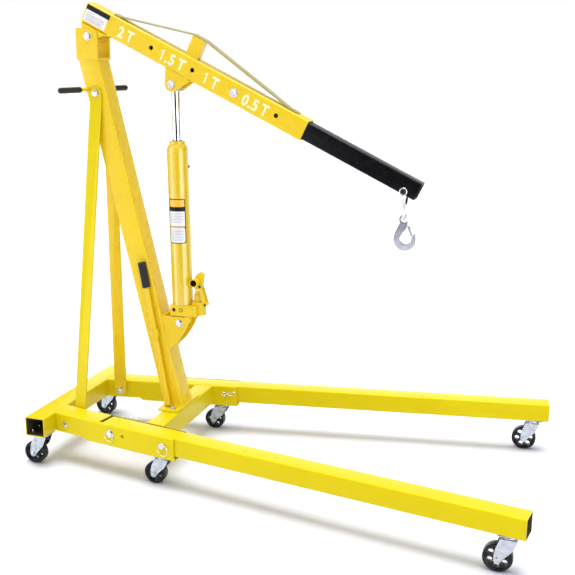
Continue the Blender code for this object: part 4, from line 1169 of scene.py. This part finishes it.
def pump():
    pin = (0.0695, 0.127)
    foot = (0.0865, 0.064)
    barrel = RAM @ move(PUMP_ALONG, 0, 0)
    piston = turned([(0, 0.1090), (0.0066, 0.1090), (0.0075, 0.1080), (0.0075, 0.094),
                     (0.0080, 0.093), (0.0080, 0.046), (0, 0.046)], barrel, 36)
    piece("pump_piston_turned", piston, YELLOW, node="pump_piston", angle=25)
    collar = [(0.0086, 0.0725), (0.0138, 0.0725), (0.0146, 0.0733), (0.0146, 0.0765),
              (0.0138, 0.0773), (0.0116, 0.0780), (0.0116, 0.0958), (0.0106, 0.0970),
              (0.0086, 0.0970), (0.0086, 0.0725)]
    piece("pump_gland", turned(collar, barrel, 36), YELLOW, "ram_body", angle=25)

    socket = (0.056, 0.143)
    cloud = []
    for x, z, radius in ((*socket, 0.0135), (0.070, 0.164, 0.012), (*pin, 0.008),
                         (0.056, 0.121, 0.008)):
        cloud += circle((x, z), radius, 36)
    rocker = plate([wrapped_round(cloud)], 0.016, RAM @ ALONG_Y)
    sleeve = rod((socket[0], -0.034, socket[1]), (socket[0], 0.024, socket[1]), 0.0145, RAM, 40)
    rocker = shaped(rocker, "UNION", sleeve)
    rocker = cut(rocker, rod((socket[0], -0.06, socket[1]), (socket[0], 0.018, socket[1]), 0.0115,
                             RAM, 40))
    made = piece("pump_rocker_cast", rocker, [YELLOW, INSIDE_SHADE], node="pump_rocker", edge=0.0014,
                 steps=3)
    paint_shade_inside(made, tube_inside_shade(RAM @ Vector((socket[0], 0, socket[1])), (0, 1, 0)))
    pump_pin("rocker_pin", pin, 0.0044)
    links = []
    for side in (-1, 1):
        flat = wrapped_round(circle(pin, 0.0062, 32) + circle(foot, 0.0062, 32))
        links.append(plate([flat, circle(pin, 0.0045, 24)[::-1]], 0.0024,
                           RAM @ move(0, side * 0.0108, 0) @ ALONG_Y))
    piece("pump_links", merged(*links), YELLOW, "ram_body", edge=0.0004)
    ear = wrapped_round(circle(foot, 0.0068, 32) + [(0.074, 0.058), (0.074, 0.071)])
    piece("link_ear", plate([ear], 0.0180, RAM @ ALONG_Y), YELLOW, "ram_body", edge=0.0008)
    pump_pin("link_pin", foot, 0.0040)


def pump_pin(name, place, radius):
    """A pin across the pump linkage, its ends chamfered."""
    end = radius - 0.0010
    profile = [(0, 0.0140), (end, 0.0140), (radius, 0.0132), (radius, -0.0132), (end, -0.0140),
               (0, -0.0140)]
    at = RAM @ move(place[0], 0, place[1]) @ outward(-1)
    piece(name, turned(profile, at, 24), DARK_STEEL, "ram_body")


def wrapped_round(cloud):
    """The outline that a string round all the points would take."""
    points = sorted({(round(x, 6), round(y, 6)) for x, y in cloud})
    sides = []
    for ordered in (points, points[::-1]):
        side = []
        for point in ordered:
            while len(side) > 1 and not bends_left(side[-2], side[-1], point):
                side.pop()
            side.append(point)
        sides += side[:-1]
    return sides


def bends_left(first, second, third):
    """Whether the path through three points turns to the left."""
    across = (second[0] - first[0]) * (third[1] - first[1])
    return across - (second[1] - first[1]) * (third[0] - first[0]) > 1e-12


def pump_handle():
    low = Vector((0.3516, -MAST_WIDTH / 2 - 0.0145, 0.2015))
    high = Vector((0.2647, -MAST_WIDTH / 2 - 0.0145, 0.7075))
    at = Matrix.Translation(low) @ (high - low).to_track_quat("Z", "Y").to_matrix().to_4x4()
    length = (high - low).length
    grip_low = length - 0.088
    tube = [(0, grip_low + 0.02), (0.0095, grip_low + 0.02), (0.0095, 0.0006), (0.0090, 0),
            (0.0078, 0), (0.0078, 0.05), (0, 0.05)]
    piece("pump_handle_tube", turned(tube, at, 48), YELLOW, node="pump_handle", angle=25)
    profile = [(0, length), (0.0108, length), (0.0130, length - 0.0008), (0.0139, length - 0.0030)]
    ribs = 17
    for rib in range(ribs):
        top = length - 0.006 - rib * 0.078 / ribs
        profile += [(0.0139, top), (0.0139, top - 0.0031), (0.0133, top - 0.0036),
                    (0.0133, top - 0.0043)]
    profile += [(0.0139, grip_low + 0.002), (0.0134, grip_low), (0.0097, grip_low),
                (0.0097, length - 0.006), (0, length - 0.006)]
    piece("pump_handle_grip", turned(profile, at, 48), GRIP, "pump_handle", angle=60)

    clip_at = at @ move(0, 0, 0.262)
    width = 0.0265
    loop = rounded(width, width, 0.010, steps=8)
    inner = rounded(width - 0.0036, width - 0.0036, 0.0084, steps=8)
    piece("handle_clip", plate([loop, inner], 0.027, clip_at), YELLOW, "frame", edge=0.0004)


# ---- studio
def glow(name, strength):
    """A plain emitter, as bright all over."""
    nodes = Nodes(name)
    nodes.set(Base_Color=(0, 0, 0, 1), Emission_Color=(1, 1, 1, 1), Roughness=1.0,
              Emission_Strength=strength, Specular_IOR_Level=0.0)
    return nodes.material


def stand(name, mesh, finish, camera=False, glossy=False, solid=False):
    """Something round the crane that isn't part of it, seen only as the flags say."""
    thing = bpy.data.objects.new(name, mesh)
    mesh.materials.append(finish)
    bpy.context.scene.collection.objects.link(thing)
    if not solid:
        thing.visible_camera = camera
        thing.visible_glossy = glossy
        thing.visible_diffuse = False
        thing.visible_transmission = False
        thing.visible_shadow = False
    return thing


def panel(name, finish, bearing, wide, low, high, away):
    """An upright card at a bearing in degrees from +X, seen only in gloss."""
    middle = math.radians(bearing)
    half = math.radians(wide) / 2
    build = bmesh.new()
    corners = []
    for turn, height in ((-half, low), (half, low), (half, high), (-half, high)):
        corners.append(build.verts.new((away * math.cos(middle + turn),
                                        away * math.sin(middle + turn), height)))
    build.faces.new(corners)
    stand(name, finished(build), finish, glossy=True)


def studio():
    """Pale floor, white backdrop, soft light, and cards that only reflections show."""
    nodes = Nodes("pale_floor")
    tint = nodes.ramp(nodes.noise(1.5, 2),
                      [(0.3, (0.75, 0.765, 0.845)), (0.7, (0.74, 0.755, 0.835))])
    nodes.link(tint, nodes.shader.inputs["Base Color"])
    nodes.set(Roughness=0.85, Specular_IOR_Level=0.2)
    build = bmesh.new()
    bmesh.ops.create_circle(build, cap_ends=True, segments=96, radius=40)
    floor = stand("floor", finished(build), nodes.material, solid=True)
    floor.location.z = -0.0005
    build = bmesh.new()
    bmesh.ops.create_uvsphere(build, u_segments=48, v_segments=24, radius=39.5)
    stand("backdrop", finished(build), glow("white_backdrop", 1.0), camera=True)

    world = bpy.data.worlds.new("studio")
    bpy.context.scene.world = world
    world.use_nodes = True
    tree = world.node_tree
    background = tree.nodes["Background"]
    background.inputs["Color"].default_value = (1.0, 1.0, 1.0, 1)
    direction = tree.nodes.new("ShaderNodeTexCoord")
    toward = tree.nodes.new("ShaderNodeVectorMath")
    toward.operation = "DOT_PRODUCT"
    toward.inputs[1].default_value = (-0.75, -0.65, 0.10)
    spread = tree.nodes.new("ShaderNodeMapRange")
    for name, value in (("From Min", -0.9), ("From Max", 0.9), ("To Min", 0.50),
                        ("To Max", 1.06)):
        spread.inputs[name].default_value = value
    tree.links.new(direction.outputs["Generated"], toward.inputs[0])
    tree.links.new(toward.outputs["Value"], spread.inputs["Value"])
    tree.links.new(spread.outputs["Result"], background.inputs["Strength"])

    data = bpy.data.lights.new("overhead", "SUN")
    data.energy = 3.0
    data.angle = 0.6
    bpy.context.scene.collection.objects.link(bpy.data.objects.new("overhead", data))

    black, white, hot = [glow(name, strength) for name, strength in
                         (("black_card", 0.0), ("bright_card", 1.7), ("stripe_card", 4.0))]
    for name, finish, bearing, wide, low, high, away in (
            ("card_back", white, 117, 64, 0.0, 2.2, 7.0),
            ("card_near", black, -83, 44, 0.42, 2.6, 2.4),
            ("card_right", black, 17, 30, 0.0, 2.6, 2.4),
            ("card_rear", black, 148, 18, 0.0, 2.6, 2.4),
            ("stripe_left", hot, -144, 16, 0.0, 2.6, 2.4),
            ("stripe_right", hot, -36, 42, 0.0, 2.6, 2.4)):
        panel(name, finish, bearing, wide, low, high, away)
    bpy.context.scene.view_settings.view_transform = "Standard"


SENSOR_WIDTH = 36.0
IMAGE_WIDTH = 575.0
CAMERA = dict(azimuth=math.radians(18.334), elevation=math.radians(13.670),
              roll=math.radians(0.42), distance=3.0668, target=Vector((0.0136, 0.0, 0.6422)),
              focal=924.0)


def camera():
    """A camera turned and raised about a target, at the photograph's viewing angle."""
    azimuth, elevation = CAMERA["azimuth"], CAMERA["elevation"]
    back = Vector((math.sin(azimuth) * math.cos(elevation),
                   -math.cos(azimuth) * math.cos(elevation), math.sin(elevation)))
    right = Vector((math.cos(azimuth), math.sin(azimuth), 0))
    up = back.cross(right)
    roll = CAMERA["roll"]
    tilted_right = right * math.cos(roll) + up * math.sin(roll)
    tilted_up = back.cross(tilted_right)
    data = bpy.data.cameras.new("camera")
    data.sensor_width = SENSOR_WIDTH
    data.lens = CAMERA["focal"] * SENSOR_WIDTH / IMAGE_WIDTH
    data.clip_end = 200
    eye = bpy.data.objects.new("camera", data)
    basis = Matrix((tilted_right, tilted_up, back)).transposed().to_4x4()
    eye.matrix_world = Matrix.Translation(CAMERA["target"] + back * CAMERA["distance"]) @ basis
    bpy.context.scene.collection.objects.link(eye)
    bpy.context.scene.camera = eye


camera()
studio()
rear_cross_tube()
front_cross_beam()
for hand in (-1, 1):
    side_channel(hand)
    leg(hand)
    leg_hardware(hand)
    brace_hardware(hand)
# brace_left, the far brace, takes the gold paint as painted shade: its golden tone stands for the
# shadow and yellow bounce light on it
for kept in ("mast_foot_plate", "brace_right"):
    refine(kept, LEMON, 0.0010)
for kept in ("mast_head", "ram_lower_bracket", "brace_left"):
    refine(kept, YELLOW, 0.0010)
casters()
mast()
push_handle()
boom()
boom_bolts()
extension()
capacity_marks()
rear_label()
hook_set()
ram()
ram_label()
pump()
pump_handle()
